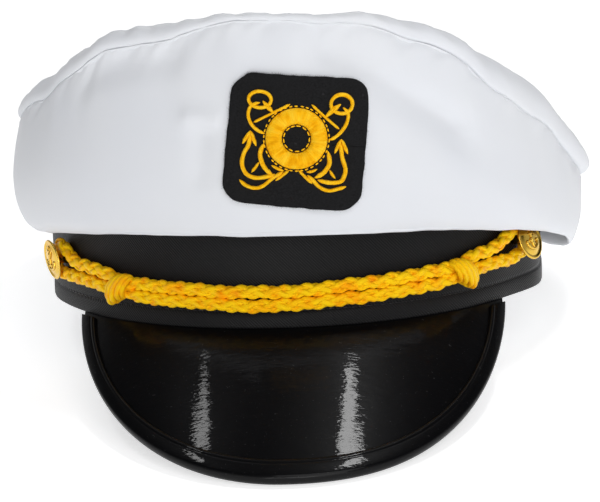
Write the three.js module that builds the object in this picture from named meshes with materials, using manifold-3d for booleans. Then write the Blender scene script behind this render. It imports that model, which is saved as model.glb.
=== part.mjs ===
// Captain hat, in millimetres.
// The hat's own frame: +X to the wearer's left as seen from the front, -Y to the front,
// +Z up from the plane of the band's lower edge. The whole hat is then tipped back, so that it
// rests on the tip of its peak and on the rear of its band.
import * as THREE from 'three';
import { mergeVertices } from 'three/addons/utils/BufferGeometryUtils.js';
import Module from 'manifold-3d';

const wasm = await Module();
wasm.setup();

// Driving dimensions
const CLEARANCE = 0.3; // between pieces that are sewn or lie together
const CLOTH_WALL = 2; // crown cloth with its foam backing
const STEPS_ROUND = 72; // sections round the head

const BAND_WIDTH = 184; // outside, side to side
const BAND_DEPTH = 208; // outside, front to back
const BAND_HEIGHT = 35;
const BAND_WALL = 3;
const BAND_EDGE = 0.8; // rounding of its upper and lower edges
const HEM_HEIGHT = 6; // stitched hem over the lower edge
const HEM_GROOVE = 0.5;
const FLOOR_FLAT = 0.9; // how far the band's rear edge is pressed flat where it rests

const CROWN_HEIGHT = 67; // rim over the band's top, at the front
const CROWN_BULGE = 16; // the side panel's stand-out over the band, at the wearer's sides
const CROWN_DROOP = 23; // the most that the side panel hangs down over the band
const PANEL_LEAN = 1.7; // how late the panel leans in towards the top seam
const PLATE_PUFF = 12; // the most that the top plate rises over its seam
const PLATE_SETTLED = 0.65; // the puff left at the plate's middle, as a share of PLATE_PUFF
const PLATE_ROLL = 14; // how far in from the seam that rise takes
const PLATE_DOME = 5; // further rise of the plate's middle

const PEAK_LENGTH = 65; // along the peak's slope, at the front
const PEAK_SPREAD = 55; // degrees of the band to each side of its middle
const PEAK_TURN = 0.7; // degrees by which that middle is off the front
const PEAK_SLOPE = 40; // degrees below the band's plane
const PEAK_WALL = 2;
const PEAK_FULLNESS = { left: 2.05, right: 2.7 }; // how square each side of its outline is
const PEAK_ROUNDING = 0.55; // lower where the outline's tip is blunter
const PEAK_BOW = 4; // how far the peak's edge rises over a straight slope
const BINDING_WIDTH = 8;
const BINDING_WALL = 1;

const BUTTON_DIAMETER = 14.5;
const BUTTON_DOME = 1.6;
const BUTTON_RIM = 1;
const SHANK_DIAMETER = 4;

const CORD_DIAMETER = 4.2;
const LOOP_SLACK = 0.8; // between the cord's loops and the buttons' shanks
const KNOT_LENGTH = 9;
const KNOT_HEIGHT = 10.5;
const KNOT_DEPTH = 7;

const PATCH_WIDTH = 45;
const PATCH_HEIGHT = 42.5;
const PATCH_CORNER = 5;
const PATCH_WALL = 1.2;
const PATCH_AZIMUTH = 3.4;
const PATCH_CENTRE = 63.3; // over the band's lower edge
const PATCH_TURN = -7; // degrees, clockwise as seen
const RING_DIAMETER = 21.5;
const RING_HOLE = 8.6;
const RING_UP = 0.6; // ring's centre over the patch's
const RING_RISE = 1.7;
const THREAD_RISE = 1.2; // raised embroidery of the anchors
const THREAD_WIDTH = 1.9;

// Rows of a table as objects, by the names of its columns
function namedRows(columns, ...rows) {
  return rows.map((row) => Object.fromEntries(row.map((value, i) => [columns[i], value])));
}

// Sections of the side panel. Azimuth is in degrees from the front towards +X.
// rim: height of the top seam over the band's top, as a share of CROWN_HEIGHT
// reach, bulge and lip: stand-out over the band at the seam, at the fullest height and at the
//   lowest fold, as shares of CROWN_BULGE
// full: height of the fullest part, as a share of the section's height
// droop: how far the lowest fold hangs below the band's top, as a share of CROWN_DROOP
// puff: rise of the top plate over its seam, as a share of PLATE_PUFF
// over: how far the plate's rolled edge leans out over the seam, as a share of PLATE_PUFF
const CROWN_SECTIONS = namedRows(
  ['azimuth', 'rim', 'reach', 'bulge', 'lip', 'full', 'droop', 'puff', 'over'],
  [-180, 0.28, 1.06, 1.31, 0.35, 0.52, 0.52, 0.6, 0.2],
  [-150, 0.31, 1.0, 1.22, 0.33, 0.5, 0.55, 0.6, 0.2],
  [-120, 0.36, 0.84, 1.06, 0.3, 0.48, 0.6, 0.65, 0.2],
  [-90, 0.41, 0.64, 0.88, 0.28, 0.48, 0.62, 0.8, 0.15],
  [-60, 0.61, 0.44, 0.75, 0.28, 0.42, 0.33, 0.93, 0.05],
  [-30, 0.89, 0.31, 0.56, 0.28, 0.35, 0.14, 0.92, 0.1],
  [0, 1.0, 0.19, 0.44, 0.28, 0.3, 0.14, 0.55, 0.1],
  [30, 0.873, 0.31, 0.56, 0.28, 0.35, 0.22, 0.93, 0.15],
  [60, 0.39, 0.62, 0.81, 0.55, 0.45, 0.54, 1.45, 0.1],
  [90, 0.0, 0.97, 1.0, 0.58, 0.7, 1.09, 1.15, 0.36],
  [120, 0.04, 1.06, 1.12, 0.45, 0.65, 1.06, 0.8, 0.4],
  [150, 0.16, 1.06, 1.25, 0.35, 0.58, 0.74, 0.65, 0.25],
);

// Soft folds of the side panel: a valley (depth above 0) or ridge along a line on the panel.
// Height is a share of the section's height, width and depth are shares of CROWN_BULGE.
const CROWN_FOLDS = [
  { azimuth: 18, height: 0.88, endAzimuth: 50, endHeight: 0.5, width: 0.55, depth: 0.17 },
  { azimuth: -20, height: 0.66, endAzimuth: -44, endHeight: 0.74, width: 0.5, depth: 0.14 },
  { azimuth: -21, height: 0.6, endAzimuth: -23, endHeight: 0.3, width: 0.3, depth: 0.12 },
  { azimuth: 22, height: 0.3, endAzimuth: 52, endHeight: 0.24, width: 0.5, depth: -0.08 },
];

// Puckers of the top seam: azimuth and width in degrees, drop as a share of PLATE_PUFF
const SEAM_PUCKERS = [
  { azimuth: -58, width: 5, drop: 0.12 },
  { azimuth: -37, width: 5, drop: -0.13 },
  { azimuth: -22, width: 5, drop: 0.12 },
  { azimuth: -8, width: 4, drop: -0.06 },
  { azimuth: 9, width: 4, drop: 0.09 },
  { azimuth: 27, width: 5, drop: 0.12 },
  { azimuth: 46, width: 4, drop: 0.12 },
  { azimuth: 63, width: 4, drop: -0.1 },
  { azimuth: 118, width: 7, drop: 0.15 },
  { azimuth: 155, width: 7, drop: -0.12 },
  { azimuth: -160, width: 7, drop: 0.15 },
  { azimuth: -115, width: 7, drop: 0.12 },
];

// The buttons: degrees from the front, height as a share of BAND_HEIGHT, and the degrees by which
// each leans out at its top
const BUTTON_PLACES = {
  left: { azimuth: -61.5, height: 0.52, lean: 6 },
  right: { azimuth: 58.5, height: 0.51, lean: -6 },
};

// The cord's middle line between the knots. Height is a share of BAND_HEIGHT.
const CORD_ROUTE = [
  { azimuth: -36.5, height: 0.36 },
  { azimuth: -29, height: 0.34 },
  { azimuth: -17, height: 0.32 },
  { azimuth: 0, height: 0.3 },
  { azimuth: 12, height: 0.33 },
  { azimuth: 20, height: 0.35 },
  { azimuth: 32, height: 0.38 },
  { azimuth: 39, height: 0.4 },
];

// The two strands between each knot and its button. Place runs from the knot, 0, to the
// button, 1, and the heights are shares of BAND_HEIGHT.
const LOOP_ROUTES = {
  left: [
    { place: 0.16, upper: 0.47, lower: 0.33 },
    { place: 0.42, upper: 0.51, lower: 0.36 },
    { place: 0.68, upper: 0.55, lower: 0.37 },
    { place: 0.84, upper: 0.65, lower: 0.37 },
  ],
  right: [
    { place: 0.15, upper: 0.52, lower: 0.38 },
    { place: 0.35, upper: 0.54, lower: 0.4 },
    { place: 0.55, upper: 0.57, lower: 0.41 },
    { place: 0.8, upper: 0.66, lower: 0.4 },
  ],
};

// Embroidery on the patch: right and up from its centre, as shares of PATCH_WIDTH
const ANCHOR_HEADS = {
  left: {
    shackle: { right: -0.291, up: 0.284, radius: 0.08 },
    strokes: [
      [[-0.255, 0.252], [-0.2, 0.203]],
      [[-0.335, 0.11], [-0.1, 0.262]],
    ],
  },
  right: {
    shackle: { right: 0.321, up: 0.304, radius: 0.08 },
    strokes: [
      [[0.285, 0.27], [0.21, 0.197]],
      [[0.105, 0.272], [0.318, 0.108]],
    ],
  },
};
const ANCHOR_ARMS = {
  left: [
    [[-0.334, -0.02], [-0.35, -0.085], [-0.385, -0.17], [-0.365, -0.265], [-0.28, -0.305], [-0.12, -0.275]],
    [[-0.396, -0.075], [-0.334, -0.02], [-0.29, -0.082]],
    [[-0.3, -0.29], [-0.235, -0.18]],
  ],
  right: [
    [[0.334, -0.02], [0.345, -0.095], [0.378, -0.175], [0.365, -0.26], [0.28, -0.3], [0.12, -0.275]],
    [[0.289, -0.09], [0.334, -0.02], [0.391, -0.088]],
    [[0.3, -0.285], [0.235, -0.18]],
  ],
};

// Materials
const whiteCloth = () => new THREE.MeshStandardMaterial({ color: 0xe6e8ec, roughness: 0.62, metalness: 0 });
const blackTwill = () => new THREE.MeshStandardMaterial({ color: 0x1c1c1e, roughness: 0.85, metalness: 0 });
const blackPatent = () => new THREE.MeshStandardMaterial({ color: 0x060607, roughness: 0.15, metalness: 0 });
const blackFelt = () => new THREE.MeshStandardMaterial({ color: 0x1b1b1d, roughness: 0.95, metalness: 0 });
const goldCord = () => new THREE.MeshStandardMaterial({ color: 0xffb000, roughness: 0.55, metalness: 0 });
const goldThread = () => new THREE.MeshStandardMaterial({ color: 0xe8ae20, roughness: 0.45, metalness: 0.2 });
const giltMetal = () => new THREE.MeshStandardMaterial({ color: 0xd8a820, roughness: 0.2, metalness: 1 });

// Helpers

function ovalPoint(azimuth, overhang, height) {
  const angle = THREE.MathUtils.degToRad(azimuth);
  return new THREE.Vector3(
    (BAND_WIDTH / 2 + overhang) * Math.sin(angle),
    -(BAND_DEPTH / 2 + overhang) * Math.cos(angle),
    height,
  );
}

function ovalOutward(azimuth) {
  const angle = THREE.MathUtils.degToRad(azimuth);
  return new THREE.Vector3(BAND_DEPTH * Math.sin(angle), -BAND_WIDTH * Math.cos(angle), 0).normalize();
}

// Millimetres along the band for one degree of azimuth
function ovalStep(azimuth) {
  return ovalPoint(azimuth + 0.5, 0, 0).distanceTo(ovalPoint(azimuth - 0.5, 0, 0));
}

function cubic(before, from, to, after, share) {
  const square = share * share;
  return 0.5 * (2 * from + (to - before) * share
    + (2 * before - 5 * from + 4 * to - after) * square
    + (3 * from - before - 3 * to + after) * square * share);
}

// Smooth value of a column of a table whose evenly spaced rows close round the head
function roundTable(rows, column, azimuth) {
  const turn = THREE.MathUtils.euclideanModulo((azimuth - rows[0].azimuth) / 360, 1) * rows.length;
  const row = Math.floor(turn);
  const at = (index) => rows[THREE.MathUtils.euclideanModulo(index, rows.length)][column];
  return cubic(at(row - 1), at(row), at(row + 1), at(row + 2), turn - row);
}

// Smooth value of a column of an open table, by the column that orders its rows
function openTable(rows, order, column, value) {
  const last = rows.length - 1;
  let row = 0;
  while (row < last - 1 && rows[row + 1][order] < value) row += 1;
  const at = (index) => rows[THREE.MathUtils.clamp(index, 0, last)];
  const share = (value - at(row)[order]) / (at(row + 1)[order] - at(row)[order]);
  return cubic(at(row - 1)[column], at(row)[column], at(row + 1)[column], at(row + 2)[column],
    THREE.MathUtils.clamp(share, 0, 1));
}

// Closed body of points and triangles, turned so that its faces point out
function solidFrom(points, triangles) {
  let volume = 0;
  for (let i = 0; i < triangles.length; i += 3) {
    const [a, b, c] = [points[triangles[i]], points[triangles[i + 1]], points[triangles[i + 2]]];
    volume += new THREE.Vector3().crossVectors(b, c).dot(a);
  }
  const geometry = new THREE.BufferGeometry();
  const numbers = points.flatMap((point) => [point.x, point.y, point.z]);
  geometry.setAttribute('position', new THREE.Float32BufferAttribute(numbers, 3));
  geometry.setIndex(volume > 0 ? triangles : [...triangles].reverse());
  geometry.computeVertexNormals();
  return geometry;
}

// Two triangles of a quad, split along its shorter diagonal
function quad(points, a, b, c, d) {
  const straight = points[a].distanceTo(points[c]) <= points[b].distanceTo(points[d]);
  return straight ? [a, b, c, a, c, d] : [a, b, d, b, c, d];
}

// Closed ring through closed sections, each a list of points in the same turning sense
function loftRing(sections) {
  const size = sections[0].length;
  const points = sections.flat();
  const triangles = [];
  sections.forEach((section, i) => {
    const next = ((i + 1) % sections.length) * size;
    for (let k = 0; k < size; k += 1) {
      const after = (k + 1) % size;
      triangles.push(...quad(points, i * size + k, i * size + after, next + after, next + k));
    }
  });
  return solidFrom(points, triangles);
}

// Bar through closed sections, with a flat fan at each end
function loftBar(sections) {
  const size = sections[0].length;
  const points = sections.flat();
  const triangles = [];
  for (let i = 0; i + 1 < sections.length; i += 1) {
    for (let k = 0; k < size; k += 1) {
      const after = (k + 1) % size;
      const next = (i + 1) * size;
      triangles.push(...quad(points, i * size + k, i * size + after, next + after, next + k));
    }
  }
  const flat = (section) => THREE.ShapeUtils.triangulateShape(flattened(section), []);
  const end = (sections.length - 1) * size;
  flat(sections[0]).forEach(([a, b, c]) => triangles.push(a, c, b));
  flat(sections[sections.length - 1]).forEach(([a, b, c]) => triangles.push(end + a, end + b, end + c));
  return solidFrom(points, triangles);
}

// A nearly flat section, seen along its own axis, so that it turns the same way as it was given
function flattened(section) {
  const normal = new THREE.Vector3();
  section.forEach((point, k) => {
    const next = section[(k + 1) % section.length];
    normal.add(new THREE.Vector3().crossVectors(point, next));
  });
  normal.normalize();
  const side = new THREE.Vector3().subVectors(section[1], section[0]).projectOnPlane(normal).normalize();
  const up = new THREE.Vector3().crossVectors(normal, side);
  return section.map((point) => new THREE.Vector2(point.dot(side), point.dot(up)));
}

// Plate between two stacks of rings that close on a point: upper from rim to middle, then
// lower from middle to rim
function loftPlate(upperRings, upperMiddle, lowerRings, lowerMiddle) {
  const size = upperRings[0].length;
  const rings = [...upperRings, ...lowerRings];
  const points = [...rings.flat(), upperMiddle, lowerMiddle];
  const top = rings.length * size;
  const bottom = top + 1;
  const triangles = [];
  const join = (from, to) => {
    for (let k = 0; k < size; k += 1) {
      const after = (k + 1) % size;
      triangles.push(...quad(points, from * size + k, from * size + after, to * size + after, to * size + k));
    }
  };
  for (let i = 0; i + 1 < upperRings.length; i += 1) join(i, i + 1);
  for (let i = upperRings.length; i + 1 < rings.length; i += 1) join(i, i + 1);
  join(rings.length - 1, 0);
  for (let k = 0; k < size; k += 1) {
    const after = (k + 1) % size;
    const inner = (upperRings.length - 1) * size;
    const under = upperRings.length * size;
    triangles.push(inner + k, inner + after, top);
    triangles.push(under + after, under + k, bottom);
  }
  return solidFrom(points, triangles);
}

function toManifold(geometry) {
  const bare = geometry.clone();
  bare.deleteAttribute('normal');
  bare.deleteAttribute('uv');
  const merged = mergeVertices(bare);
  return new wasm.Manifold(new wasm.Mesh({
    numProp: 3,
    vertProperties: merged.attributes.position.array,
    triVerts: Uint32Array.from(merged.index.array),
  }));
}

function fromManifold(solid) {
  const mesh = solid.getMesh();
  const geometry = new THREE.BufferGeometry();
  geometry.setAttribute('position', new THREE.Float32BufferAttribute(mesh.vertProperties, mesh.numProp));
  geometry.setIndex(new THREE.Uint32BufferAttribute(mesh.triVerts, 1));
  geometry.computeVertexNormals();
  return geometry;
}

function union(geometries) {
  return fromManifold(geometries.map(toManifold).reduce((sum, part) => sum.add(part)));
}

function azimuths(count) {
  return Array.from({ length: count }, (_, i) => -180 + (360 * i) / count);
}

// Crown

const crown = (column, azimuth) => roundTable(CROWN_SECTIONS, column, azimuth);

function puckerDrop(azimuth) {
  return SEAM_PUCKERS.reduce((sum, pucker) => {
    const away = THREE.MathUtils.euclideanModulo(azimuth - pucker.azimuth + 180, 360) - 180;
    return sum + pucker.drop * PLATE_PUFF * Math.exp(-((away / pucker.width) ** 2));
  }, 0);
}

const rimHeight = (azimuth) => BAND_HEIGHT + CROWN_HEIGHT * crown('rim', azimuth) - puckerDrop(azimuth);
const rimReach = (azimuth) => CROWN_BULGE * crown('reach', azimuth) - 0.5 * puckerDrop(azimuth);
const lipHeight = (azimuth) => BAND_HEIGHT - CROWN_DROOP * crown('droop', azimuth);

// How far the folds push the panel in, at a share of the section's height
function foldDepth(azimuth, share) {
  const tall = rimHeight(azimuth) - lipHeight(azimuth);
  return CROWN_FOLDS.reduce((sum, fold) => {
    const scale = ovalStep(0.5 * (fold.azimuth + fold.endAzimuth));
    const along = [(fold.endAzimuth - fold.azimuth) * scale, (fold.endHeight - fold.height) * tall];
    const off = [(azimuth - fold.azimuth) * scale, (share - fold.height) * tall];
    const length = along[0] ** 2 + along[1] ** 2;
    const near = THREE.MathUtils.clamp((off[0] * along[0] + off[1] * along[1]) / length, 0, 1);
    const distance = Math.hypot(off[0] - near * along[0], off[1] - near * along[1]);
    const fade = Math.sin(Math.PI * THREE.MathUtils.clamp(share, 0, 1)) ** 0.5;
    return sum + fade * fold.depth * CROWN_BULGE * Math.exp(-((distance / (fold.width * CROWN_BULGE)) ** 2));
  }, 0);
}

// Stand-out of the panel's outer face over the band, at a share of the section's height
function panelReach(azimuth, share) {
  const lip = CROWN_BULGE * crown('lip', azimuth);
  const bulge = CROWN_BULGE * crown('bulge', azimuth);
  const full = crown('full', azimuth);
  if (share < full) {
    const fall = 1 - share / full;
    return lip + (bulge - lip) * Math.sqrt(1 - fall ** 2) - foldDepth(azimuth, share);
  }
  const climb = (share - full) / (1 - full);
  return bulge + (rimReach(azimuth) - bulge) * climb ** PANEL_LEAN - foldDepth(azimuth, share);
}

const panelHeight = (azimuth, share) => THREE.MathUtils.lerp(lipHeight(azimuth), rimHeight(azimuth), share);

// Points of the panel's section: its underside from the band out and down to the lowest fold, the
// swell up to the fullest height in degrees of a quarter turn, and the climb from there to the seam
const UNDERSIDE = [{ out: 0.62, down: 0.16 }, { out: 0.92, down: 0.62 }];
const SWELL_TURNS = [0, 35, 65];
const CLIMB_SHARES = [0, 0.3, 0.65, 1];

// The panel's section as stand-out and height: from its seat on the band, over the lowest fold,
// to the top seam
function panelSection(azimuth) {
  const seat = BAND_HEIGHT + CLEARANCE;
  const low = lipHeight(azimuth);
  const lip = CROWN_BULGE * crown('lip', azimuth);
  const full = crown('full', azimuth);
  const outer = [[-BAND_WALL + BAND_EDGE, seat], [CLEARANCE, seat]];
  for (const { out, down } of UNDERSIDE) {
    outer.push([CLEARANCE + out * (lip - CLEARANCE), seat - down * (seat - low)]);
  }
  for (const turn of SWELL_TURNS) {
    const share = full * (1 - Math.cos(THREE.MathUtils.degToRad(turn)));
    outer.push([panelReach(azimuth, share), panelHeight(azimuth, share)]);
  }
  for (const climb of CLIMB_SHARES) {
    const share = full + (1 - full) * climb;
    outer.push([panelReach(azimuth, share), panelHeight(azimuth, share)]);
  }
  return outer;
}

// The same line moved sideways by a wall, on the side that its turning sense gives
function offsetLine(line, wall) {
  return line.map((point, i) => {
    const before = line[Math.max(i - 1, 0)];
    const after = line[Math.min(i + 1, line.length - 1)];
    const arriving = new THREE.Vector2(point[0] - before[0], point[1] - before[1]);
    const leaving = new THREE.Vector2(after[0] - point[0], after[1] - point[1]);
    if (i === 0) arriving.copy(leaving);
    if (i === line.length - 1) leaving.copy(arriving);
    arriving.normalize();
    leaving.normalize();
    const along = arriving.clone().add(leaving).normalize();
    const stretch = wall / Math.max(along.dot(arriving), 0.6);
    return [point[0] - along.y * stretch, point[1] + along.x * stretch];
  });
}

function crownSide() {
  const sections = azimuths(STEPS_ROUND).map((azimuth) => {
    const outer = panelSection(azimuth);
    const inner = offsetLine(outer, CLOTH_WALL);
    return [...outer, ...inner.reverse()].map(([out, height]) => ovalPoint(azimuth, out, height));
  });
  return loftRing(sections);
}

// Top plate: share 0 is its rim over the seam, share 1 the middle
function plateMiddle() {
  const around = azimuths(STEPS_ROUND);
  return around.reduce((sum, azimuth) => sum + rimHeight(azimuth), 0) / around.length + PLATE_DOME;
}

function platePoint(azimuth, share, middle) {
  const reach = rimReach(azimuth);
  const rim = ovalPoint(azimuth, reach, 0);
  const inward = share * rim.length();
  const roll = Math.min(inward / PLATE_ROLL, 1);
  const rise = PLATE_PUFF * THREE.MathUtils.lerp(crown('puff', azimuth), PLATE_SETTLED, share)
    * Math.sqrt(1 - (1 - roll) ** 2);
  const lean = PLATE_PUFF * crown('over', azimuth) * Math.sin(Math.PI * Math.min(2 * roll, 1));
  const dome = share * (2 - share);
  const fading = puckerDrop(azimuth) * (1 - dome) * (1 - (1 - share) ** 6);
  const base = THREE.MathUtils.lerp(rimHeight(azimuth), middle, dome) + fading;
  const point = rim.multiplyScalar(1 - share).addScaledVector(ovalOutward(azimuth), lean);
  point.z = base + CLEARANCE + rise;
  return point;
}

function crownTop() {
  const around = azimuths(STEPS_ROUND);
  const middle = plateMiddle();
  const ring = (share, drop) => around.map((azimuth) => {
    const point = platePoint(azimuth, share, middle);
    point.z -= drop;
    return point;
  });
  const upper = [0, 0.012, 0.035, 0.1, 0.3, 0.65].map((share) => ring(share, 0));
  const lower = [0.65, 0.3, 0.1, 0.06].map((share) => ring(share, CLOTH_WALL));
  const seat = around.map((azimuth) => {
    const point = ovalPoint(azimuth, rimReach(azimuth) - 1.4 * CLOTH_WALL, 0);
    point.z = rimHeight(azimuth) + CLEARANCE;
    return point;
  });
  const top = new THREE.Vector3(0, 0, middle + CLEARANCE + PLATE_PUFF * PLATE_SETTLED);
  const under = new THREE.Vector3(0, 0, top.z - CLOTH_WALL);
  return loftPlate(upper, top, [...lower, seat], under);
}

// Band

function bandSection(azimuth) {
  const profile = [
    [-BAND_WALL, 0],
    [-BAND_EDGE, 0],
    [0, BAND_EDGE],
    [0, HEM_HEIGHT - HEM_GROOVE],
    [-HEM_GROOVE, HEM_HEIGHT],
    [0, HEM_HEIGHT + HEM_GROOVE],
    [0, BAND_HEIGHT - BAND_EDGE],
    [-BAND_EDGE, BAND_HEIGHT],
    [-BAND_WALL, BAND_HEIGHT],
  ];
  return profile.map(([out, height]) => ovalPoint(azimuth, out, height));
}

// The band with its rear edge pressed flat on the floor that it rests on when it is tipped back
function band(tip) {
  const geometry = loftRing(azimuths(STEPS_ROUND).map(bandSection));
  const down = new THREE.Vector3(0, Math.sin(tip), -Math.cos(tip));
  const floor = down.dot(ovalPoint(180, -BAND_EDGE, 0)) - FLOOR_FLAT;
  const position = geometry.attributes.position;
  const point = new THREE.Vector3();
  for (let i = 0; i < position.count; i += 1) {
    point.fromBufferAttribute(position, i);
    const under = down.dot(point) - floor;
    if (under > 0) {
      point.addScaledVector(down, -under);
      position.setXYZ(i, point.x, point.y, point.z);
    }
  }
  return geometry;
}

// Peak

const peakSlope = THREE.MathUtils.degToRad(PEAK_SLOPE);
const peakDown = new THREE.Vector3(0, -Math.cos(peakSlope), -Math.sin(peakSlope));
const peakUp = new THREE.Vector3(0, -Math.sin(peakSlope), Math.cos(peakSlope));

// Azimuth and slope length of a point on the peak's outline, moved in from its edge. Across runs
// from -1 to 1 between the peak's ends under the band, with steps that close up there.
function peakOutline(across, inset) {
  const sideways = ovalStep(PEAK_SPREAD) * Math.hypot(Math.sin(peakSlope), 0.4);
  const spread = PEAK_SPREAD - inset / sideways;
  const share = Math.sin((Math.PI / 2) * across);
  const fullness = share < 0 ? PEAK_FULLNESS.left : PEAK_FULLNESS.right;
  return {
    azimuth: PEAK_TURN + spread * share,
    length: (PEAK_LENGTH - inset) * (1 - Math.abs(share) ** fullness) ** PEAK_ROUNDING,
  };
}

// Middle of the peak's wall: down a straight slope from the band, with a low arch
function peakMiddle({ azimuth, length }) {
  const arch = PEAK_BOW * Math.sin((Math.PI / 2) * (length / PEAK_LENGTH));
  return ovalPoint(azimuth, -BAND_WALL / 2, -CLEARANCE)
    .addScaledVector(peakDown, length).addScaledVector(peakUp, arch);
}

// Point off the middle of the wall, kept clear of the band above
function peakPoint(place, rise) {
  const step = 0.5;
  const shifted = (turn, slide) => peakMiddle({
    azimuth: place.azimuth + turn,
    length: Math.max(place.length + slide, 0),
  });
  const along = shifted(0, step).sub(shifted(0, -step));
  const across = shifted(step, 0).sub(shifted(-step, 0));
  const normal = new THREE.Vector3().crossVectors(along, across).normalize();
  const point = peakMiddle(place).addScaledVector(normal, rise);
  point.z = Math.min(point.z, -CLEARANCE);
  return point;
}

function peak() {
  const steps = 32;
  const rows = 5;
  const sections = [];
  for (let i = 0; i <= steps; i += 1) {
    const across = THREE.MathUtils.lerp(-0.97, 0.97, i / steps);
    const { azimuth, length } = peakOutline(across, BINDING_WALL + CLEARANCE);
    const row = (rise) => Array.from({ length: rows + 1 }, (_, k) => (
      peakPoint({ azimuth, length: (length * k) / rows }, rise)));
    sections.push([...row(PEAK_WALL / 2), ...row(-PEAK_WALL / 2).reverse()]);
  }
  return loftBar(sections);
}

// Rolled binding: a channel round the peak's edge, from the band round the front and back.
// Its section is given as inset from the edge and rise off the middle of the peak's wall.
function peakBinding() {
  const steps = 34;
  const half = PEAK_WALL / 2 + CLEARANCE;
  const full = half + BINDING_WALL;
  const channel = [
    [0, -0.45 * full],
    [0, 0.45 * full],
    [0.5 * BINDING_WALL, 0.9 * full],
    [1.5 * BINDING_WALL, full],
    [BINDING_WIDTH, full],
    [BINDING_WIDTH, half],
    [BINDING_WALL, half],
    [BINDING_WALL, -half],
    [BINDING_WIDTH, -half],
    [BINDING_WIDTH, -full],
    [1.5 * BINDING_WALL, -full],
    [0.5 * BINDING_WALL, -0.9 * full],
  ];
  const sections = Array.from({ length: steps + 1 }, (_, i) => {
    const across = THREE.MathUtils.lerp(-0.96, 0.96, i / steps);
    return channel.map(([inset, rise]) => peakPoint(peakOutline(across, inset), rise));
  });
  return loftBar(sections);
}

// Cord

const cordOverhang = CLEARANCE + CORD_DIAMETER / 2;
const strandOffset = (CORD_DIAMETER + CLEARANCE) / 2;
const cordLine = (azimuth) => BAND_HEIGHT * openTable(CORD_ROUTE, 'azimuth', 'height', azimuth);
const knotAzimuth = {
  left: CORD_ROUTE[0].azimuth,
  right: CORD_ROUTE[CORD_ROUTE.length - 1].azimuth,
};

// Round bar along places on the band: azimuth and height of its middle line
function cordBar(places) {
  const centres = places.map(({ azimuth, height }) => ovalPoint(azimuth, cordOverhang, height));
  const sides = 8;
  const sections = centres.map((centre, i) => {
    const before = centres[Math.max(i - 1, 0)];
    const after = centres[Math.min(i + 1, centres.length - 1)];
    const along = new THREE.Vector3().subVectors(after, before).normalize();
    const outward = ovalOutward(places[i].azimuth).projectOnPlane(along).normalize();
    const upward = new THREE.Vector3().crossVectors(along, outward);
    return Array.from({ length: sides }, (_, k) => {
      const angle = (2 * Math.PI * (k + 0.5)) / sides;
      return centre.clone()
        .addScaledVector(outward, (CORD_DIAMETER / 2) * Math.cos(angle))
        .addScaledVector(upward, (CORD_DIAMETER / 2) * Math.sin(angle));
    });
  });
  return loftBar(sections);
}

// A strand between the knots, above or below the middle line
function middleStrand(side) {
  const start = knotAzimuth.left + (KNOT_LENGTH / 2 + CLEARANCE) / ovalStep(knotAzimuth.left);
  const end = knotAzimuth.right - (KNOT_LENGTH / 2 + CLEARANCE) / ovalStep(knotAzimuth.right);
  const steps = 20;
  const places = Array.from({ length: steps + 1 }, (_, i) => {
    const azimuth = THREE.MathUtils.lerp(start, end, i / steps);
    return { azimuth, height: cordLine(azimuth) + side * strandOffset };
  });
  return cordBar(places);
}

// A cord end: from its knot round the button's shank and back
function cordLoop(name, hand) {
  const knot = Math.abs(knotAzimuth[name]) + (KNOT_LENGTH / 2 + CLEARANCE) / ovalStep(knotAzimuth[name]);
  const bend = (SHANK_DIAMETER + CORD_DIAMETER) / 2 + LOOP_SLACK;
  const buttonAzimuth = Math.abs(BUTTON_PLACES[name].azimuth);
  const buttonHeight = BAND_HEIGHT * BUTTON_PLACES[name].height;
  const step = ovalStep(buttonAzimuth);
  const strand = (column) => LOOP_ROUTES[name].map((row) => ({
    azimuth: THREE.MathUtils.lerp(knot, buttonAzimuth, row.place),
    height: BAND_HEIGHT * row[column],
  }));
  const start = { azimuth: knot, height: cordLine(knotAzimuth[name]) + strandOffset };
  const finish = { azimuth: knot, height: cordLine(knotAzimuth[name]) - strandOffset };
  const turn = [90, 60, 30, 0, -30, -60, -90].map((degrees) => {
    const angle = THREE.MathUtils.degToRad(degrees);
    return {
      azimuth: buttonAzimuth + (bend * Math.cos(angle)) / step,
      height: buttonHeight + bend * Math.sin(angle),
    };
  });
  const coarse = [start, ...strand('upper'), ...turn, ...strand('lower').reverse(), finish];
  const curve = new THREE.CatmullRomCurve3(coarse.map(({ azimuth, height }) => (
    new THREE.Vector3(azimuth * step, height, 0))), false, 'centripetal');
  const places = curve.getSpacedPoints(28).map((point) => ({
    azimuth: (hand * point.x) / step,
    height: point.y,
  }));
  return cordBar(hand > 0 ? places : places.reverse());
}

// A slip knot: three wraps round the two strands, and the bight that hangs from it
function knot(name) {
  const wraps = 3;
  const steps = 9;
  const profile = [new THREE.Vector2(0, -0.5)];
  for (let i = 1; i < steps; i += 1) {
    const along = i / steps;
    const swell = 1 + 0.1 * Math.cos(2 * Math.PI * wraps * (along - 0.5));
    profile.push(new THREE.Vector2(0.5 * swell * Math.sin(Math.PI * along) ** 0.35 * 0.9, along - 0.5));
  }
  profile.push(new THREE.Vector2(0, 0.5));
  const wrapped = new THREE.LatheGeometry(profile, 10).rotateZ(-Math.PI / 2);
  wrapped.scale(KNOT_LENGTH, KNOT_DEPTH, KNOT_HEIGHT * 0.85);
  const bight = new THREE.SphereGeometry(0.5, 8, 6);
  bight.scale(KNOT_LENGTH * 0.6, KNOT_DEPTH * 0.7, KNOT_HEIGHT * 0.6);
  bight.translate(-0.1 * KNOT_LENGTH, 0, -0.3 * KNOT_HEIGHT);
  const whole = union([wrapped, bight]);
  const azimuth = knotAzimuth[name];
  const mesh = new THREE.Mesh(whole, goldCord());
  mesh.name = `knot_${name}`;
  mesh.position.copy(ovalPoint(azimuth, CLEARANCE + KNOT_DEPTH / 2, cordLine(azimuth)));
  mesh.rotation.z = Math.atan2(ovalOutward(azimuth).x, -ovalOutward(azimuth).y);
  return mesh;
}

// Buttons

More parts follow.
